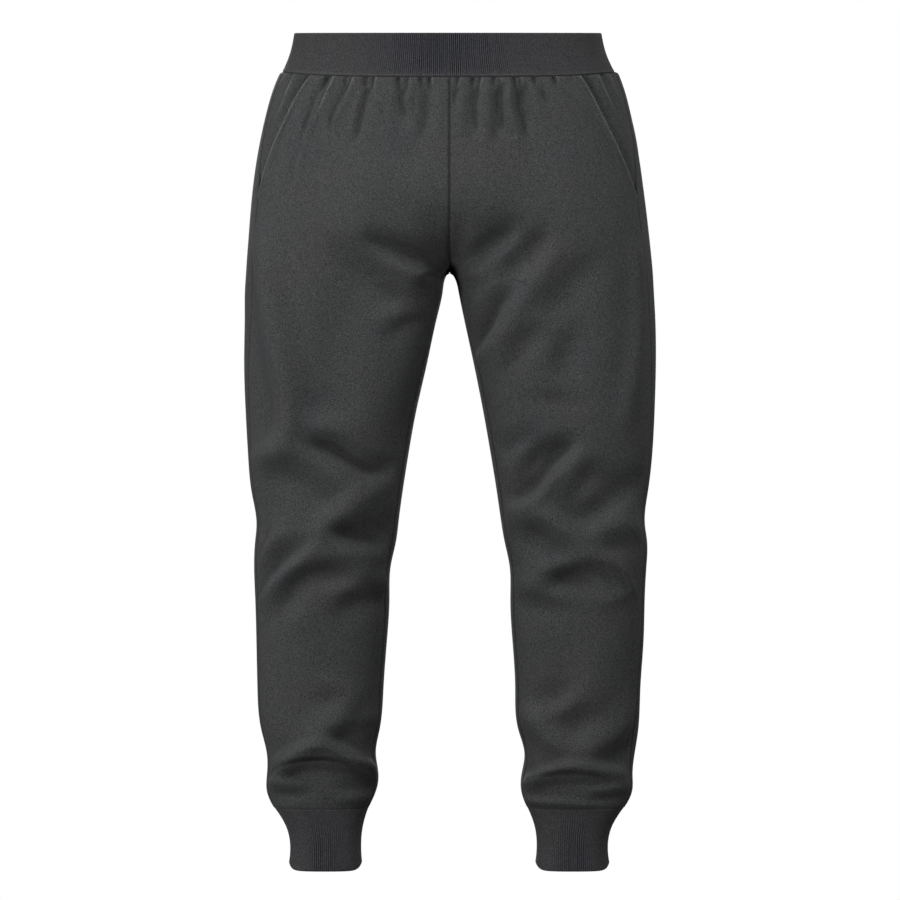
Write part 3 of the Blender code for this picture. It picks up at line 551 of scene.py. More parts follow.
def gathered(points, drop):
    """Three fields. The height of the gathers: a hollow depth x exp(-d2 / 2 w2) that widens and fades as it
    runs down, on a puff (1 - exp(-down / rise)) exp(-down / length), with sharp pleats on the front and a
    groove and a roll along each arc. Painted shade, 0 to 1, in the hollow of each gather, along each pleat's
    foot and in each arc's groove; and a painted highlight, 0 to 1, along each pleat's edge."""
    flat, down = points.reshape(-1, 3), np.maximum(drop.reshape(-1) - BAND_DROP, 0)
    push = PUFF * (1 - np.exp(-down / PUFF_RISE)) * np.exp(-down / PUFF_LENGTH)
    pinch_shade, crease_highlight = np.zeros(len(flat)), np.zeros(len(flat))
    near = np.nonzero(down < GATHERS_END)[0]
    for table, face in ((FRONT_GATHERS, -1), (BACK_GATHERS, 1)):
        here = near[flat[near, 1] * face > -FACE_LAP]
        for x, lean, length, width, depth in table:
            share = down[here] / length
            wide = width * (1 + GATHER_WIDENS * share)
            off = flat[here, 0] - x - lean * share
            hollow = depth * np.exp(-(off**2) / (2 * wide**2) - share**2 * GATHER_FADES)
            push[here] -= hollow
            # painted shade in the gather's hollow
            pinch_shade[here] += hollow / GATHER_PINCH * np.exp(-((off / wide) ** 2) - share)
    here = near[flat[near, 1] < 0]
    for x, end, length, height in FRONT_PLEATS:
        share = np.clip(down[here] / length, 0, 1)
        fade = abs(height) * (1 - share**2) ** 2
        off = (flat[here, 0] - x - (end - x) * share) * np.sign(height)
        push[here] += fade * pleat(off)
        # painted highlight along the pleat's edge, painted shade along its foot
        crease_highlight[here] += fade / CREASE_FULL * bell(off - CREASE_AT, CREASE_WIDE)
        pinch_shade[here] += fade / FOOT_FULL * bell(off + FOOT_AT, FOOT_WIDE)
    for x, middle, half, sag, lean, height in FRONT_ARCS:
        share = (flat[:, 0] - x) / half
        fade = height * (1 - np.minimum(share**2, 1)) * (flat[:, 1] < 0)
        off = drop.reshape(-1) - middle - sag * share**2 - lean * share
        push += fade * (bell(off - ROLL_AT, ROLL_WIDE) - bell(off, ARC_WIDE))
        # painted shade in the arc's groove
        pinch_shade += ARC_SHADE * fade * bell(off, ARC_SHADE_WIDE)
    fields = push, np.clip(pinch_shade, 0, 1), np.clip(crease_highlight, 0, 1)
    return tuple(values.reshape(points.shape[:-1]) for values in fields)


# %% [markdown]
# ## Seams
# The seams are lines on the plain surface: down the middle, down the inside of each leg, and down each
# side, a little ahead of the widest line so that a strip of the back panel shows from the front. The
# pocket mouth cuts the front panel's upper corner off.

# %% Seam lines
INSEAM_FORWARD, FORWARD_OVER = 0.42, 110  # share of the front depth, reached this far below the crotch
MOUTH_COLUMNS = "drop left right"
MOUTH = np.array([
    (53, 165.0, 156.0), (75, 181.5, 170.0), (100, 195.0, 183.0), (130, 208.5, 198.0),
    (165, 220.0, 213.0), (190, 226.5, 222.0), (215, 230.5, 229.0),
])
MOUTH_END, CROTCH_SIDE_DROP = 206.0, 336.0


def graded(count, first, last, reach_in=0.05):
    """Shares from 0 to 1 that are `first` and `last` times as close together at the two ends."""
    t = np.linspace(0, 1, 2000)
    dense = 1 + (first - 1) * np.exp(-t / reach_in) + (last - 1) * np.exp(-(1 - t) / reach_in)
    total = np.r_[0, np.cumsum((dense[1:] + dense[:-1]) / 2)]
    return np.interp(np.linspace(0, 1, count), total / total[-1], t)


ROWS_ABOVE = graded(125, 3.0, 1.6, 0.06)
DROPS_BELOW = CROTCH + (CUFF_DROP - CROTCH) * graded(277, 1.4, 2.0, 0.03)[1:]


def spread(line, shares):
    """Where along a finely divided line these shares of its length fall, from 0 to 1."""
    length = np.r_[0, np.cumsum(np.linalg.norm(np.diff(placed(line), axis=0), axis=1))]
    return np.interp(shares, length / length[-1], np.linspace(0, 1, len(line)))


def inner_seam(face, side):
    """The centre seam from the waistband to the crotch, then the inside leg seam to the cuff. The first is
    traced by the root of the height over the crotch, because it runs in level there."""
    depth = np.linspace(np.sqrt(CROTCH - BAND_DROP), 0, 800)
    rise = at_x(np.zeros(len(depth)), CROTCH - depth**2, side, face)
    steps = np.interp(spread(rise, ROWS_ABOVE), np.linspace(0, 1, len(depth)), depth)
    top = at_x(np.zeros(len(steps)), CROTCH - steps**2, side, face)
    forward = INSEAM_FORWARD * np.clip((DROPS_BELOW - CROTCH) / FORWARD_OVER, 0, 1) ** 1.5
    return np.concatenate([top, at_y(forward, DROPS_BELOW, side, -1)])


def side_seam(side):
    """The seam down the outside, with a row for each row of the inner seam."""
    start, end = CROTCH_SIDE_DROP, CUFF_DROP
    squeezed = start + (DROPS_BELOW - CROTCH) / (end - CROTCH) * (end - start)
    drops = np.r_[BAND_DROP + ROWS_ABOVE * (start - BAND_DROP), squeezed]
    return at_y(section(drops, side).seam, drops, side, 1)


def mouth_edge(side):
    """The front panel's outer edge: along the pocket mouth, then down the side seam."""
    seam = side_seam(side)
    drops = seam[:, 2]
    out = named(MOUTH_COLUMNS, MOUTH, drops)
    mouth = at_x(out.left if side < 0 else out.right, drops, side, -1)
    return np.where((drops < MOUTH_END)[:, None], mouth, seam)


# %% [markdown]
# ## From a grid of points to a cloth wall
# A panel is one grid of points between two seams. Its outer skin is pushed along the surface's own
# direction, and its inner skin follows 2 mm behind, so that the wall is closed and cannot cross itself.
# The grid is about 2 mm fine, closer at the seams. Each piece also carries its own measure of the cloth,
# across and down, for the knit to follow.

# %% Grids and walls
PANEL_WALL, EDGE_OVERLAP = 2.0, 0.06  # thickness, and how far a piece runs on over its seams


def grid_faces(rows, columns):
    """The four-cornered faces of a grid of points, row by row."""
    i, j = np.meshgrid(np.arange(rows - 1), np.arange(columns - 1), indexing="ij")
    corner = (i * columns + j).reshape(-1)
    return np.stack([corner, corner + columns, corner + columns + 1, corner + 1], 1)


def rim_of(rows, columns):
    """The points round a grid's edge, in the order of its faces."""
    index = np.arange(rows * columns).reshape(rows, columns)
    return np.r_[index[:, 0], index[-1, 1:], index[-2::-1, -1], index[0, -2:0:-1]]


def mesh_of(name, points, faces, finish, across_down, marks, side=1):
    """A smooth piece from points in millimetres and arrays of faces, one array for each corner count."""
    points = points * (side * MM, MM, MM)
    faces = [group[:, ::-1] if side < 0 else group for group in faces]
    corners = np.concatenate([group.reshape(-1) for group in faces])
    counts = np.concatenate([np.full(len(group), group.shape[1]) for group in faces])
    mesh = bpy.data.meshes.new(name)
    mesh.vertices.add(len(points))
    mesh.vertices.foreach_set("co", points.reshape(-1))
    mesh.loops.add(len(corners))
    mesh.loops.foreach_set("vertex_index", corners.astype(np.int32))
    mesh.polygons.add(len(counts))
    mesh.polygons.foreach_set("loop_start", (np.cumsum(counts) - counts).astype(np.int32))
    mesh.polygons.foreach_set("use_smooth", np.ones(len(counts), bool))
    mesh.update(calc_edges=True)
    cloth = mesh.uv_layers.new(name="cloth")
    cloth.uv.foreach_set("vector", (across_down[corners] * MM).astype(np.float32).reshape(-1))
    for word, values in marks.items():
        mark = mesh.attributes.new(word, "FLOAT", "POINT")
        mark.data.foreach_set("value", values.astype(np.float32))
    mesh.materials.append(finish)
    made = bpy.data.objects.new(name, mesh)
    bpy.context.scene.collection.objects.link(made)
    if mesh.validate():
        print(name, "had faulty faces")
    return made


def edge_distances(outer):
    """Distance of each grid point from the first and last column and the first and last row."""
    over = np.linalg.norm(np.diff(outer, axis=1), axis=-1)
    down = np.linalg.norm(np.diff(outer, axis=0), axis=-1)
    across = np.concatenate([np.zeros((len(outer), 1)), np.cumsum(over, 1)], 1)
    along = np.concatenate([np.zeros((1, outer.shape[1])), np.cumsum(down, 0)], 0)
    return across, across[:, -1:] - across, along, along[-1:] - along


def wall(name, plain, push, side, finish, marks, front=True):
    """A closed wall: the outer skin at `push`, an inner skin one thickness behind it with every second row
    and column, and a rim of five-cornered faces between them. Rows and columns are odd in number."""
    normal = outward(plain, side)
    normal[[0, -1], :, 2] = 0
    normal /= np.linalg.norm(normal, axis=-1, keepdims=True)
    base = placed(plain)
    across, _, along, _ = edge_distances(base)
    for axis in (0, 1):
        grid = np.swapaxes(base, 0, axis)
        for edge, inner in ((0, 1), (-1, -2)):
            way = grid[inner] - grid[edge]
            grid[edge] -= way / np.linalg.norm(way, axis=-1, keepdims=True) * EDGE_OVERLAP
    outer = base + normal * push[..., None]
    inner = (outer - normal * PANEL_WALL)[::2, ::2]
    rows, columns = plain.shape[:2]
    count = rows * columns
    rim, back = rim_of(rows, columns), rim_of(*inner.shape[:2]) + count
    rims = np.stack([np.roll(rim, -2)[::2], np.roll(rim, -1)[::2], rim[::2], back, np.roll(back, -1)], 1)
    skins = np.concatenate([grid_faces(rows, columns), grid_faces(*inner.shape[:2])[:, ::-1] + count])
    faces = [group if front else group[:, ::-1] for group in (skins, rims)]
    points = np.concatenate([outer.reshape(-1, 3), inner.reshape(-1, 3)])

    def on_both(value):
        """A value of the grid for the outer skin's points and then for the inner skin's."""
        return np.concatenate([value.reshape((count,) + value.shape[2:]),
                               value[::2, ::2].reshape((-1,) + value.shape[2:])])

    marks = {word: on_both(value) for word, value in marks.items()}
    return mesh_of(name, points, faces, finish, on_both(np.stack([across, along], -1)), marks, side)


# %% [markdown]
# ## Finishes
# Both cloths are one charcoal yarn, spun from darker and lighter fibres, so close up the colour is a fine
# mixture and not one grey. The panels are a plain knit with a brushed surface. The ribs are the same yarn
# knitted in ridges. The bump draws the loops. Of three noises on Object coordinates, a fine one mixes the
# fibres, one makes blotches, and a wide one drifts the tint a little, as dyed cloth does.

# %% Node helpers
WALE, COURSE = 1.3, 1.05  # one knitted loop, across and down
STRAND_LEAN, STRAND_HIGH = 0.8, 0.6


def joined(tree, kind, ways=(), **settings):
    """A node with these settings. ways gives (input, value or output socket) pairs."""
    made = tree.nodes.new("ShaderNode" + kind)
    for word, value in settings.items():
        setattr(made, word, value)
    for name, value in ways:
        if isinstance(value, bpy.types.NodeSocket):
            tree.links.new(value, made.inputs[name])
        else:
            made.inputs[name].default_value = value
    return made


def sum_of(tree, operation, *values):
    """What a Math node makes of these values."""
    return joined(tree, "Math", enumerate(values), operation=operation).outputs[0]


def loops(tree):
    """Height of plain knitting: ridges cos(2 pi a) across, and strands sin(2 pi (v + 0.8 |a|)) that lean
    to the middle of each ridge, where a runs from -0.5 to 0.5 over one ridge."""
    cloth = joined(tree, "UVMap", uv_map="cloth").outputs["UV"]
    parts = joined(tree, "SeparateXYZ", [("Vector", cloth)]).outputs
    column = sum_of(tree, "MULTIPLY", parts["X"], 1 / (WALE * MM))
    a = sum_of(tree, "SUBTRACT", sum_of(tree, "FRACT", column), 0.5)
    ridge = sum_of(tree, "COSINE", sum_of(tree, "MULTIPLY", a, 2 * np.pi))
    lean = sum_of(tree, "MULTIPLY", sum_of(tree, "ABSOLUTE", a), STRAND_LEAN)
    row = sum_of(tree, "ADD", sum_of(tree, "MULTIPLY", parts["Y"], 1 / (COURSE * MM)), lean)
    strand = sum_of(tree, "SINE", sum_of(tree, "MULTIPLY", row, 2 * np.pi))
    return sum_of(tree, "ADD", ridge, sum_of(tree, "MULTIPLY", strand, STRAND_HIGH))


def noise(tree, size, detail=2.0, rough=0.5):
    """A noise whose lumps are about `size` millimetres, from 0 to 1."""
    place = joined(tree, "TexCoord").outputs["Object"]
    ways = [("Vector", place), ("Scale", 1 / (size * MM)), ("Detail", detail), ("Roughness", rough)]
    return joined(tree, "TexNoise", ways).outputs["Fac"]


def between(tree, value, low, high, first, last):
    """A straight ramp: value from low to high becomes first to last."""
    ways = [("Value", value), ("From Min", low), ("From Max", high), ("To Min", first), ("To Max", last)]
    return joined(tree, "MapRange", ways).outputs["Result"]


def mark(tree, word):
    """A number that the piece carries at each point."""
    return joined(tree, "Attribute", attribute_name=word).outputs["Fac"]


def mixed(tree, share, first, second, blend="MIX"):
    """Two colours in one. A Mix node of colours has the share at input 0, them at 6 and 7, and the result
    at output 2."""
    ways = [(0, share), (6, first), (7, second)]
    return joined(tree, "Mix", ways, data_type="RGBA", blend_type=blend).outputs[2]


# %% The two cloths
DEEP_TINT = (0.83, 0.84, 0.97)


def cloth_finish(name, dark, light, tints, nap, ribbed=False):
    """Charcoal melange: yarn mixture, tint drift, darker seams, painted shade in folds, gathers, the legs'
    inside and under the pocket's mouth, painted highlights along edges, partly paler worn edges, painted
    shade and highlight across the ribs, loops and nap in the bump."""
    finish = bpy.data.materials.new(name)
    finish.use_nodes = True
    tree = finish.node_tree
    shader = tree.nodes["Principled BSDF"]
    fibre = between(tree, noise(tree, 1.15, 3.0, 0.7), 0.32, 0.68, 0.0, 1.0)
    yarn = mixed(tree, fibre, dark + (1,), light + (1,))
    drift = between(tree, noise(tree, 70, 2.0), 0.35, 0.65, 0.0, 1.0)
    tint = mixed(tree, drift, tints[0] + (1,), tints[1] + (1,))
    colour = mixed(tree, 1.0, yarn, tint, "MULTIPLY")
    blotch = between(tree, noise(tree, 9, 3.0, 0.6), 0.3, 0.7, 0.965, 1.035)
    # the seam mark darkens the seams and paints shade in folds, gathers, the legs' inside and under the
    # pocket's mouth
    shade = sum_of(tree, "MULTIPLY", blotch, between(tree, mark(tree, "seam"), 0, 1, 1.0, 0.55))
    # the lip mark paints highlights along edges, partly paler worn edges, and makes the cuffs paler
    shade = sum_of(tree, "MULTIPLY", shade, between(tree, mark(tree, "lip"), 0, 1, 1.0, 2.1))
    if ribbed:
        colour = mixed(tree, mark(tree, "deep"), colour, DEEP_TINT + (1,), "MULTIPLY")
        # the rib mark paints shade in the ribs' grooves and a highlight on their ridges
        shade = sum_of(tree, "MULTIPLY", shade, between(tree, mark(tree, "rib"), -2.0, 2.0, 0.05, 1.95))
    grey = joined(tree, "CombineColor", [(0, shade), (1, shade), (2, shade)]).outputs[0]
    colour = mixed(tree, 1.0, colour, grey, "MULTIPLY")
    tree.links.new(colour, shader.inputs["Base Color"])
    rough = between(tree, noise(tree, 3, 2.0), 0.3, 0.7, 0.84, 0.97)
    tree.links.new(rough, shader.inputs["Roughness"])
    knit = joined(tree, "Bump", [("Height", loops(tree)), ("Strength", 0.35), ("Distance", 0.12 * MM)])
    fuzz = joined(tree, "Bump", [("Height", noise(tree, 1.1, 4.0, 0.7)), ("Strength", nap),
                                 ("Distance", 0.5 * MM), ("Normal", knit.outputs[0])])
    tree.links.new(fuzz.outputs[0], shader.inputs["Normal"])
    shader.inputs["Specular IOR Level"].default_value = 0.2
    shader.inputs["Sheen Weight"].default_value = 0.04
    shader.inputs["Sheen Roughness"].default_value = 0.6
    return finish


FLEECE = cloth_finish("fleece_knit", (0.0088, 0.0092, 0.0094), (0.0830, 0.0840, 0.0843),
                      ((0.99, 1.0, 0.98), (0.985, 0.995, 1.025)), 0.35)
RIB = cloth_finish("rib_knit", (0.0110, 0.0111, 0.0114), (0.0640, 0.0640, 0.0658),
                   ((1.0, 1.0, 0.98), (0.99, 0.99, 1.03)), 0.25, ribbed=True)

# %% [markdown]
# ## Leg panels
# Two front and two back panels. Every row of a panel runs from the inner seam to the outer one, evenly
# spaced along the cloth and not along the angle, so that the knit isn't stretched at the corners.

# %% Panels
COLUMNS = 181
SEAM_SINK, SEAM_WIDE, BAND_SEAM_WIDE, SIDE_SEAM = 1.3, 1.9, 1.1, 0.5
CUFF_SEAM, CUFF_SEAM_WIDE, CUFF_CALM = 0.15, 2.5, 15.0
TOP_SINK, SINK_SLOPE = 0.5, 0.9  # how far cloth may sink in at the waistband, and more for each mm from it
FOLDS_FROM, FOLDS_OVER = 0.12, 0.5  # how far cloth has to face ahead or back for folds to show
INNER_SHADE, INNER_WIDE, INNER_FROM, INNER_OVER = 0.35, 50.0, 230, 80  # painted shade on the inside of the legs
INNER_BOTH, INNER_LEFT = 0.8, 0.5  # its share on both legs, and what the left has more and the right less
# painted shade at the crotch, on the left leg only
CROTCH_SHADE, CROTCH_WIDE, CROTCH_AT, CROTCH_HIGH = 1.0, 40.0, 266, 46
# painted shade in the hollow of each fold, from how sharply it bends
HOLLOW_FROM, HOLLOW_FULL, HOLLOW_SHADE = 0.02, 0.16, 0.8
# the lip's height and width, the width of the painted highlight along it, and of the painted shadow under it
MOUTH_LIP, LIP_WIDE, LIP_HIGHLIGHT_WIDE, MOUTH_SHADOW = 0.8, 3.0, 1.5, 11.0


def row_lines(start, end, u, side):
    """Rows between two seams: the angle runs evenly with u, the drop leaves each end level."""
    level = u**3 * (10 - 15 * u + 6 * u**2)
    angle = start[0][:, None] + (end[0] - start[0])[:, None] * u
    return on_ray(angle, start[1][:, None] + (end[1] - start[1])[:, None] * level, side)


def even_rows(start, end, shares, side):
    """Rows whose points divide the length along the cloth by these shares."""
    u = np.linspace(0, 1, 260)
    lines = placed(row_lines(start, end, np.tile(u, (len(start[0]), 1)), side))
    length = np.cumsum(np.linalg.norm(np.diff(lines, axis=1), axis=-1), 1)
    length = np.concatenate([np.zeros((len(lines), 1)), length], 1)
    at = np.array([np.interp(shares, row / row[-1], u) for row in length])
    return row_lines(start, end, at, side)


def pushed(plain, side):
    """Folds and gathers at these plain points, worked out in the object's own frame. Folds fade where
    the cloth turns away to the side, so that they leave the outline of the legs as it is."""
    space = placed(plain) * (side, 1, 1)
    ahead = np.clip((np.abs(outward(plain, side)[..., 1]) - FOLDS_FROM) / FOLDS_OVER, 0, 1)
    gather, pinch_shade, crease_highlight = gathered(space, plain[..., 2])
    return folded(space) * ahead**2 * (3 - 2 * ahead) + gather, pinch_shade, crease_highlight


def fold_hollow_shade(push, across, along):
    """How much shade is painted in the hollow of a fold, 0 to 1: its second slopes across and down, where
    they are positive, over HOLLOW_FULL."""
    bend = 0
    for axis, way in ((1, across), (0, along)):
        step = np.maximum(np.gradient(way, axis=axis), 0.2)
        bend += np.gradient(np.gradient(push, axis=axis) / step, axis=axis) / step
    return HOLLOW_SHADE * np.clip((bend - HOLLOW_FROM) / HOLLOW_FULL, 0, 1)


def panel(name, face, side):
    """One leg panel. Seams sink and darken, the pocket's edge stands out, and folds die out above the cuff.
    Shade is painted in the hollow of each fold, on the inside of the leg and at the crotch on the left side,
    and a highlight is painted along the pocket's mouth, partly a paler worn edge, and along the pleats'
    edges."""
    start = inner_seam(face, side)
    end = mouth_edge(side) if face < 0 else side_seam(side)
    first, last = angle_of(start, side), angle_of(end, side)
    first = np.where(first * face < 0, first + 2 * np.pi * face, first)
    plain = even_rows((first, start[:, 2]), (last, end[:, 2]), graded(COLUMNS, 3.0, 3.0), side)
    inner, outer, top, bottom = edge_distances(placed(plain))
    is_mouth = ((end[:, 2] < MOUTH_END) & (face < 0))[:, None] * np.ones_like(outer)
    seam = SIDE_SEAM * (1 - is_mouth) * bell(outer, SEAM_WIDE) + bell(inner, SEAM_WIDE)
    seam += bell(top, BAND_SEAM_WIDE) + CUFF_SEAM * bell(bottom, CUFF_SEAM_WIDE)
    lip = is_mouth * bell(outer, LIP_WIDE)
    push, pinch_shade, crease_highlight = pushed(plain, side)
    push *= 1 - bell(bottom, CUFF_CALM)
    push += MOUTH_LIP * lip - SEAM_SINK * np.clip(seam, 0, 1)
    push = np.maximum(push, -TOP_SINK - SINK_SLOPE * top)
    # painted shade: the inside of the legs, the hollow of each fold, and the crotch on the left leg
    below = np.clip((plain[..., 2] - INNER_FROM) / INNER_OVER, 0, 1)
    painted_shade = INNER_SHADE * below * (INNER_BOTH - INNER_LEFT * side) * bell(inner, INNER_WIDE)
    painted_shade += fold_hollow_shade(push, inner, top)
    if side < 0:
        off = (plain[..., 2] - CROTCH_AT) / CROTCH_HIGH
        painted_shade += CROTCH_SHADE * np.exp(-((inner / CROTCH_WIDE) ** 2) - off**2)
    # painted highlight along the pocket's mouth, partly a paler worn edge, and along the pleats' edges
    pale_and_highlight = np.maximum(is_mouth * bell(outer, LIP_HIGHLIGHT_WIDE), crease_highlight)
    # the seam mark darkens the seams and carries the painted shade; the lip mark carries the painted
    # highlight
    marks = {"seam": np.clip(seam + pinch_shade + painted_shade, 0, 1), "lip": pale_and_highlight}
    return wall(name, plain, push, side, FLEECE, marks, front=face < 0)


panels = {}
for word, side in (("left", -1), ("right", 1)):
    for part, face in (("front", -1), ("back", 1)):
        panels[part + "_" + word] = panel(f"{part}_panel_{word}", face, side)
for made in panels.values():
    print(made.name, len(made.data.polygons), "faces")

# %% [markdown]
# ## Slash pockets
# The pocket mouth is the folded edge of the front panel. Behind it lies the facing, a strip of the same
# fleece that is sewn in at the waistband and the side seam, and that dips a few millimetres under the
# mouth so that a hand can go in.

# %% Pocket facings
FACING_COLUMNS = 81
POCKET_LAP, POCKET_DIP, DIP_FROM, DIP_OVER = 14.0, 3.6, 3, 12
SHADOW_SHORT, SHADOW_OVER = 90, 60  # the mouth's shadow ends this far above the mouth's end, over this much


def facing(name, side):
    """One pocket facing. It dips under the mouth by 1 - share^2 (3 - 2 share), share growing outwards."""
    seam = side_seam(side)
    seam = seam[: (seam[:, 2] < MOUTH_END).sum() // 2 * 2 + 1]
    mouth = mouth_edge(side)[: len(seam)]
    middle = section(mouth[:, 2], side)
    first = angle_of(mouth, side) - POCKET_LAP / np.hypot(mouth[:, 0] - middle.ray_x, mouth[:, 1])
    last = angle_of(seam, side)
    shares = graded(FACING_COLUMNS, 1.0, 3.0)
    plain = even_rows((first, mouth[:, 2]), (last, seam[:, 2]), shares, side)
    past = np.linalg.norm(plain - mouth[:, None], axis=-1)
    past *= np.sign(angle_of(plain, side) - angle_of(mouth, side)[:, None])
    rise = np.clip((past - DIP_FROM) / DIP_OVER, 0, 1)
    dip = POCKET_DIP * (1 - rise**2 * (3 - 2 * rise))
    _, outer, top, _ = edge_distances(placed(plain))
    sewn = np.clip(bell(outer, SEAM_WIDE) + bell(top, SEAM_WIDE), 0, 1)
    above = np.clip((MOUTH_END - SHADOW_SHORT - plain[..., 2]) / SHADOW_OVER, 0, 1)
    shadow = bell(past, MOUTH_SHADOW) * above
    push, pinch_shade, crease_highlight = pushed(plain, side)
    push = np.maximum(push - dip - SEAM_SINK * sewn, -TOP_SINK - SINK_SLOPE * top)
    marks = {"seam": np.clip(sewn + pinch_shade + shadow, 0, 1), "lip": crease_highlight}
    return wall(name, plain, push, side, FLEECE, marks)


facings = {word: facing("pocket_lining_" + word, side) for word, side in (("left", -1), ("right", 1))}
print("facings", [len(made.data.polygons) for made in facings.values()])

# %% [markdown]
# ## Ribbed waistband and cuffs
# Rib knit stands in ridges one or two millimetres wide. They are too fine to model one by one, but a tube
# has a simple grid, so the ridges are a cosine round it with six or eight columns each. The cloth is
# folded double, so its free edge is a round roll and its other edge is sewn.

# %% Ribbed tubes
TUBE_COLUMNS = "drop middle half front back"
WAISTBAND = np.array([
    (0, -2.0, 187.2, 80, 88), (26, -1.8, 192.4, 81, 89), (BAND_DROP, -1.2, 202.6, 86, 95),
])
LEFT_CUFF = np.array([
    (CUFF_DROP, 156.4, 57.5, 33.5, 51.0), (966, 152.9, 47.6, 30, 46), (HEM_DROP, 151.4, 44.6, 28.5, 44.5),
])
RIGHT_CUFF = np.array([
    (CUFF_DROP, 154.0, 59.0, 33.5, 51.0), (966, 151.3, 48.0, 30, 46), (HEM_DROP, 150.0, 45.2, 28.5, 44.5),
])
BAND_RIBS, CUFF_RIBS, RIB_DEPTH, BAND_WALL = 388, 104, 0.42, 3.0
ROLL_POINTS, ROW_GAP, SEWN_GAP = 7, 2.9, 0.15  # round the free edge, between rows, short of the seam
RIB_UNEVEN, RIB_LEAST, RIB_MOST = 0.35, 0.4, 1.5  # how much the ribs differ in height, and its limits
SIDES_FLAT, FLAT_FROM, FLAT_OVER = 0.85, 0.25, 0.3  # ribs flatten outwards, in shares of the half width
MIDDLE_MORE, MIDDLE_AT, MIDDLE_WIDE = 1.1, 0.02, 0.16  # and the waistband's are higher in its middle
RIBS_SEWN, BAND_FADE, CUFF_FADE = 0.2, 12, 60  # the share at the seam, and the mm in which it grows by 1
BEAD_HIGH, BEAD_AT, BEAD_WIDE = 0.55, 1.6, 1.1  # a bead beside the waistband's seam
# a painted highlight along the bead, where it stands and its width
BEAD_HIGHLIGHT, HIGHLIGHT_AT, HIGHLIGHT_WIDE = 0.5, 1.8, 0.8
GROOVE_DEEP, GROOVE_WIDE = 0.9, 0.9  # at the seam itself
CUFF_SWELL, SWELL_OVER, CUFF_PALE, CUFF_DARK = 0.5, 4, 0.12, 0.1
DEEP_AT, DEEP_WIDE = 0.1, 0.45
HEM_ROUND, HEM_REACH = 8.0, 16.0


def ovals(tube, count):
    """Points round each row of a tube, evenly spaced, and their outward directions."""
    fine = np.linspace(0, 2 * np.pi, 3600)
    widest = (tube.back - tube.front)[:, None] / 3
    ahead = np.sin(fine) < 0
    power = 2 / np.where(ahead, CORNER_FRONT, CORNER_BACK)
    x = tube.middle[:, None] + tube.half[:, None] * np.sign(np.cos(fine)) * np.abs(np.cos(fine)) ** power
    deep = np.where(ahead, tube.front[:, None] + widest, tube.back[:, None] - widest)
    y = widest + deep * np.sign(np.sin(fine)) * np.abs(np.sin(fine)) ** power
    length = np.cumsum(np.hypot(np.diff(x, axis=1), np.diff(y, axis=1)), 1)
    length = np.concatenate([np.zeros((len(x), 1)), length], 1)
    rows = []
    for row_x, row_y, row in zip(x, y, length):
        at = np.arange(count) / count * row[-1]
        rows.append(np.stack([np.interp(at, row, row_x), np.interp(at, row, row_y)], -1))
    xy = np.array(rows)
    way = np.roll(xy, -1, 1) - np.roll(xy, 1, 1)
    way /= np.linalg.norm(way, axis=-1, keepdims=True)
    return xy, np.stack([way[..., 1], -way[..., 0]], -1), length[:, -1]


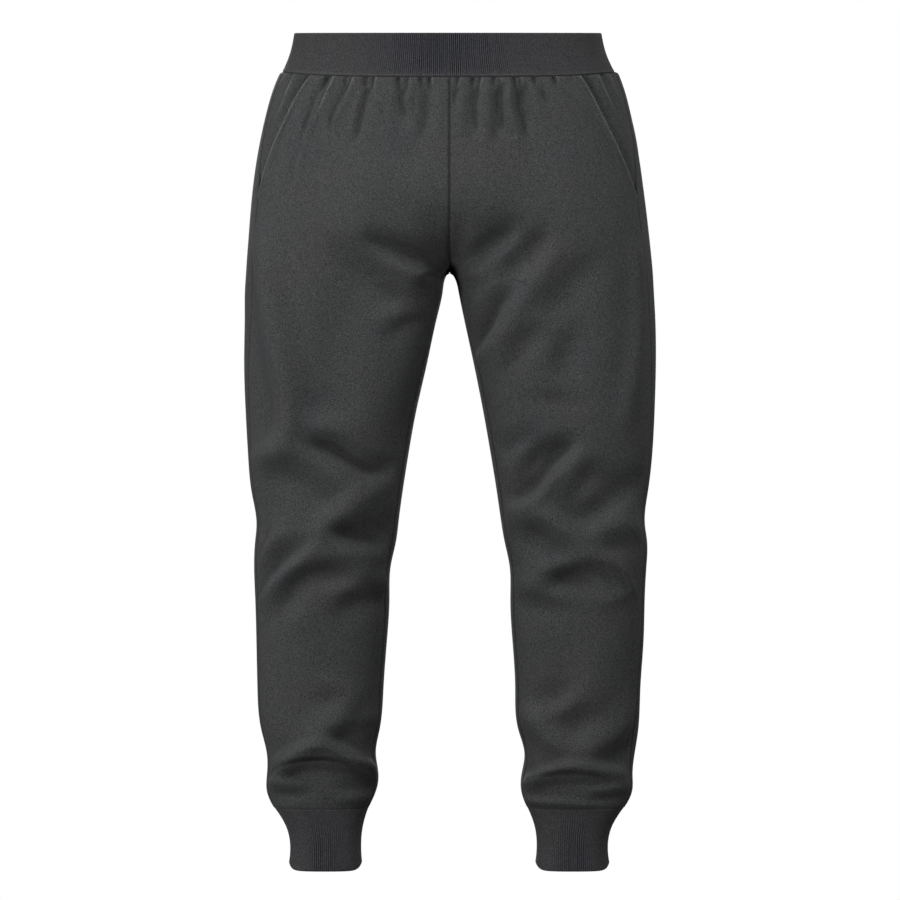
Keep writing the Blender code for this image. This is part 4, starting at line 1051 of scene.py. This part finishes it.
def ribbed_tube(name, table, ribs, per_rib, side=1, seed=3):
    """A double tube. Its section runs along the outside from the seam to the free edge, round a roll there
    and back along the inside: a row is a depth under the outer face and a drop. The ribs are a cosine round
    it times their own heights."""
    sewn_top = table[0, 0] > BAND_DROP
    free, sewn = (table[-1, 0], table[0, 0]) if sewn_top else (table[0, 0], table[-1, 0])
    way = 1 if sewn > free else -1
    radius = BAND_WALL / 2
    turn = np.linspace(0, np.pi, ROLL_POINTS)
    long = abs(sewn - free)
    body = radius + (long - radius - SEWN_GAP) * graded(int(long / ROW_GAP), 1.2, 2.0)
    deep = np.r_[0 * body[::-1], radius - radius * np.cos(turn[1:-1]), BAND_WALL + 0 * body]
    down = np.r_[body[::-1], radius - radius * np.sin(turn[1:-1]), body]
    drop = free + way * down
    tube = named(TUBE_COLUMNS, table, drop)
    count = ribs * per_rib
    xy, normal, girth = ovals(tube, count)
    draw = np.random.default_rng(seed)
    phase = 2 * np.pi * np.arange(count) / per_rib
    differ = np.interp(np.arange(count) / per_rib, np.arange(ribs + 1), draw.normal(0, 1, ribs + 1))
    sideways = np.abs(xy[0, :, 0] - tube.middle[0]) / tube.half[0]
    flatter = 1 - SIDES_FLAT * np.clip((sideways - FLAT_FROM) / FLAT_OVER, 0, 1)
    to_seam = long - down
    if way > 0:
        flatter += MIDDLE_MORE * bell(sideways - MIDDLE_AT, MIDDLE_WIDE)
        edge = BEAD_HIGH * bell(to_seam - BEAD_AT, BEAD_WIDE) - GROOVE_DEEP * bell(to_seam, GROOVE_WIDE)
        # painted highlight along the waistband's bead
        pale_and_highlight = BEAD_HIGHLIGHT * bell(to_seam - HIGHLIGHT_AT, HIGHLIGHT_WIDE)
        dark, over = 1, BAND_FADE
    else:
        edge = CUFF_SWELL * np.exp(-to_seam / SWELL_OVER)
        pale_and_highlight, dark, over = CUFF_PALE, CUFF_DARK, CUFF_FADE
    rib = np.cos(phase) * np.clip(1 + RIB_UNEVEN * differ, RIB_LEAST, RIB_MOST) * flatter
    flat = np.where(deep > radius, -1, 1)
    fade = np.clip(RIBS_SEWN + to_seam / over, 0, 1)
    raised = RIB_DEPTH * fade
    out = -deep[:, None] + flat[:, None] * (rib * raised[:, None] + np.where(flat > 0, edge, 0)[:, None])
    ring = xy + normal * out[..., None]
    plain = np.concatenate([xy, np.broadcast_to(drop[:, None, None], xy.shape[:2] + (1,))], -1)
    height = placed(plain)[..., 2]
    if way < 0:
        corner = np.abs(ring[..., 0] - tube.middle[:, None]) / tube.half[:, None]
        height = height + HEM_ROUND * np.clip(corner, 0, 1) ** 12 * np.exp(-down / HEM_REACH)[:, None]
    points = np.concatenate([ring, height[..., None]], -1)
    rows = len(drop)
    i, j = np.meshgrid(np.arange(rows), np.arange(count), indexing="ij")
    below, beside = (i + 1) % rows, (j + 1) % count
    corners = i * count + j, i * count + beside, below * count + beside, below * count + j
    faces = np.stack([corner.reshape(-1) for corner in corners], 1)
    if way < 0:
        faces = faces[:, ::-1]
    around = np.broadcast_to(np.arange(count) / count, (rows, count)) * girth[0]
    measure = np.stack([around, np.broadcast_to(down[:, None], (rows, count))], -1).reshape(-1, 2)
    # rib paints shade in the grooves between ribs and a highlight on their ridges; on the waistband, lip is
    # a painted highlight along the bead, and on the cuffs a paler tone
    marks = {
        "seam": np.repeat(bell(to_seam, 1.0) * dark, count),
        "rib": np.tile(rib, rows) * np.repeat(fade, count),
        "deep": np.tile(bell(sideways - DEEP_AT, DEEP_WIDE), rows) * np.repeat(fade, count),
        "lip": np.repeat(pale_and_highlight * (flat > 0), count),
    }
    return mesh_of(name, points.reshape(-1, 3), [faces], RIB, measure, marks, side)


tubes = {
    "waistband": ribbed_tube("rib_waistband", WAISTBAND, BAND_RIBS, 6),
    "cuff_left": ribbed_tube("rib_cuff_left", LEFT_CUFF, CUFF_RIBS, 8, -1),
    "cuff_right": ribbed_tube("rib_cuff_right", RIGHT_CUFF, CUFF_RIBS, 8),
}
print("tubes", [len(made.data.polygons) for made in tubes.values()])

# %% [markdown]
# ## What each piece is
# Every piece rides on the only body and stands for its solid, which is hidden.


def declare(made, node):
    """What one piece rides on, and the solid that it stands for and hides."""
    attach(made, "root")
    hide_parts(node)


for node, made in panels.items():
    declare(made, node)
for word, made in facings.items():
    declare(made, "pocket_facing_" + word)
declare(tubes["waistband"], "waistband")
declare(tubes["cuff_left"], "cuff_left")
declare(tubes["cuff_right"], "cuff_right")
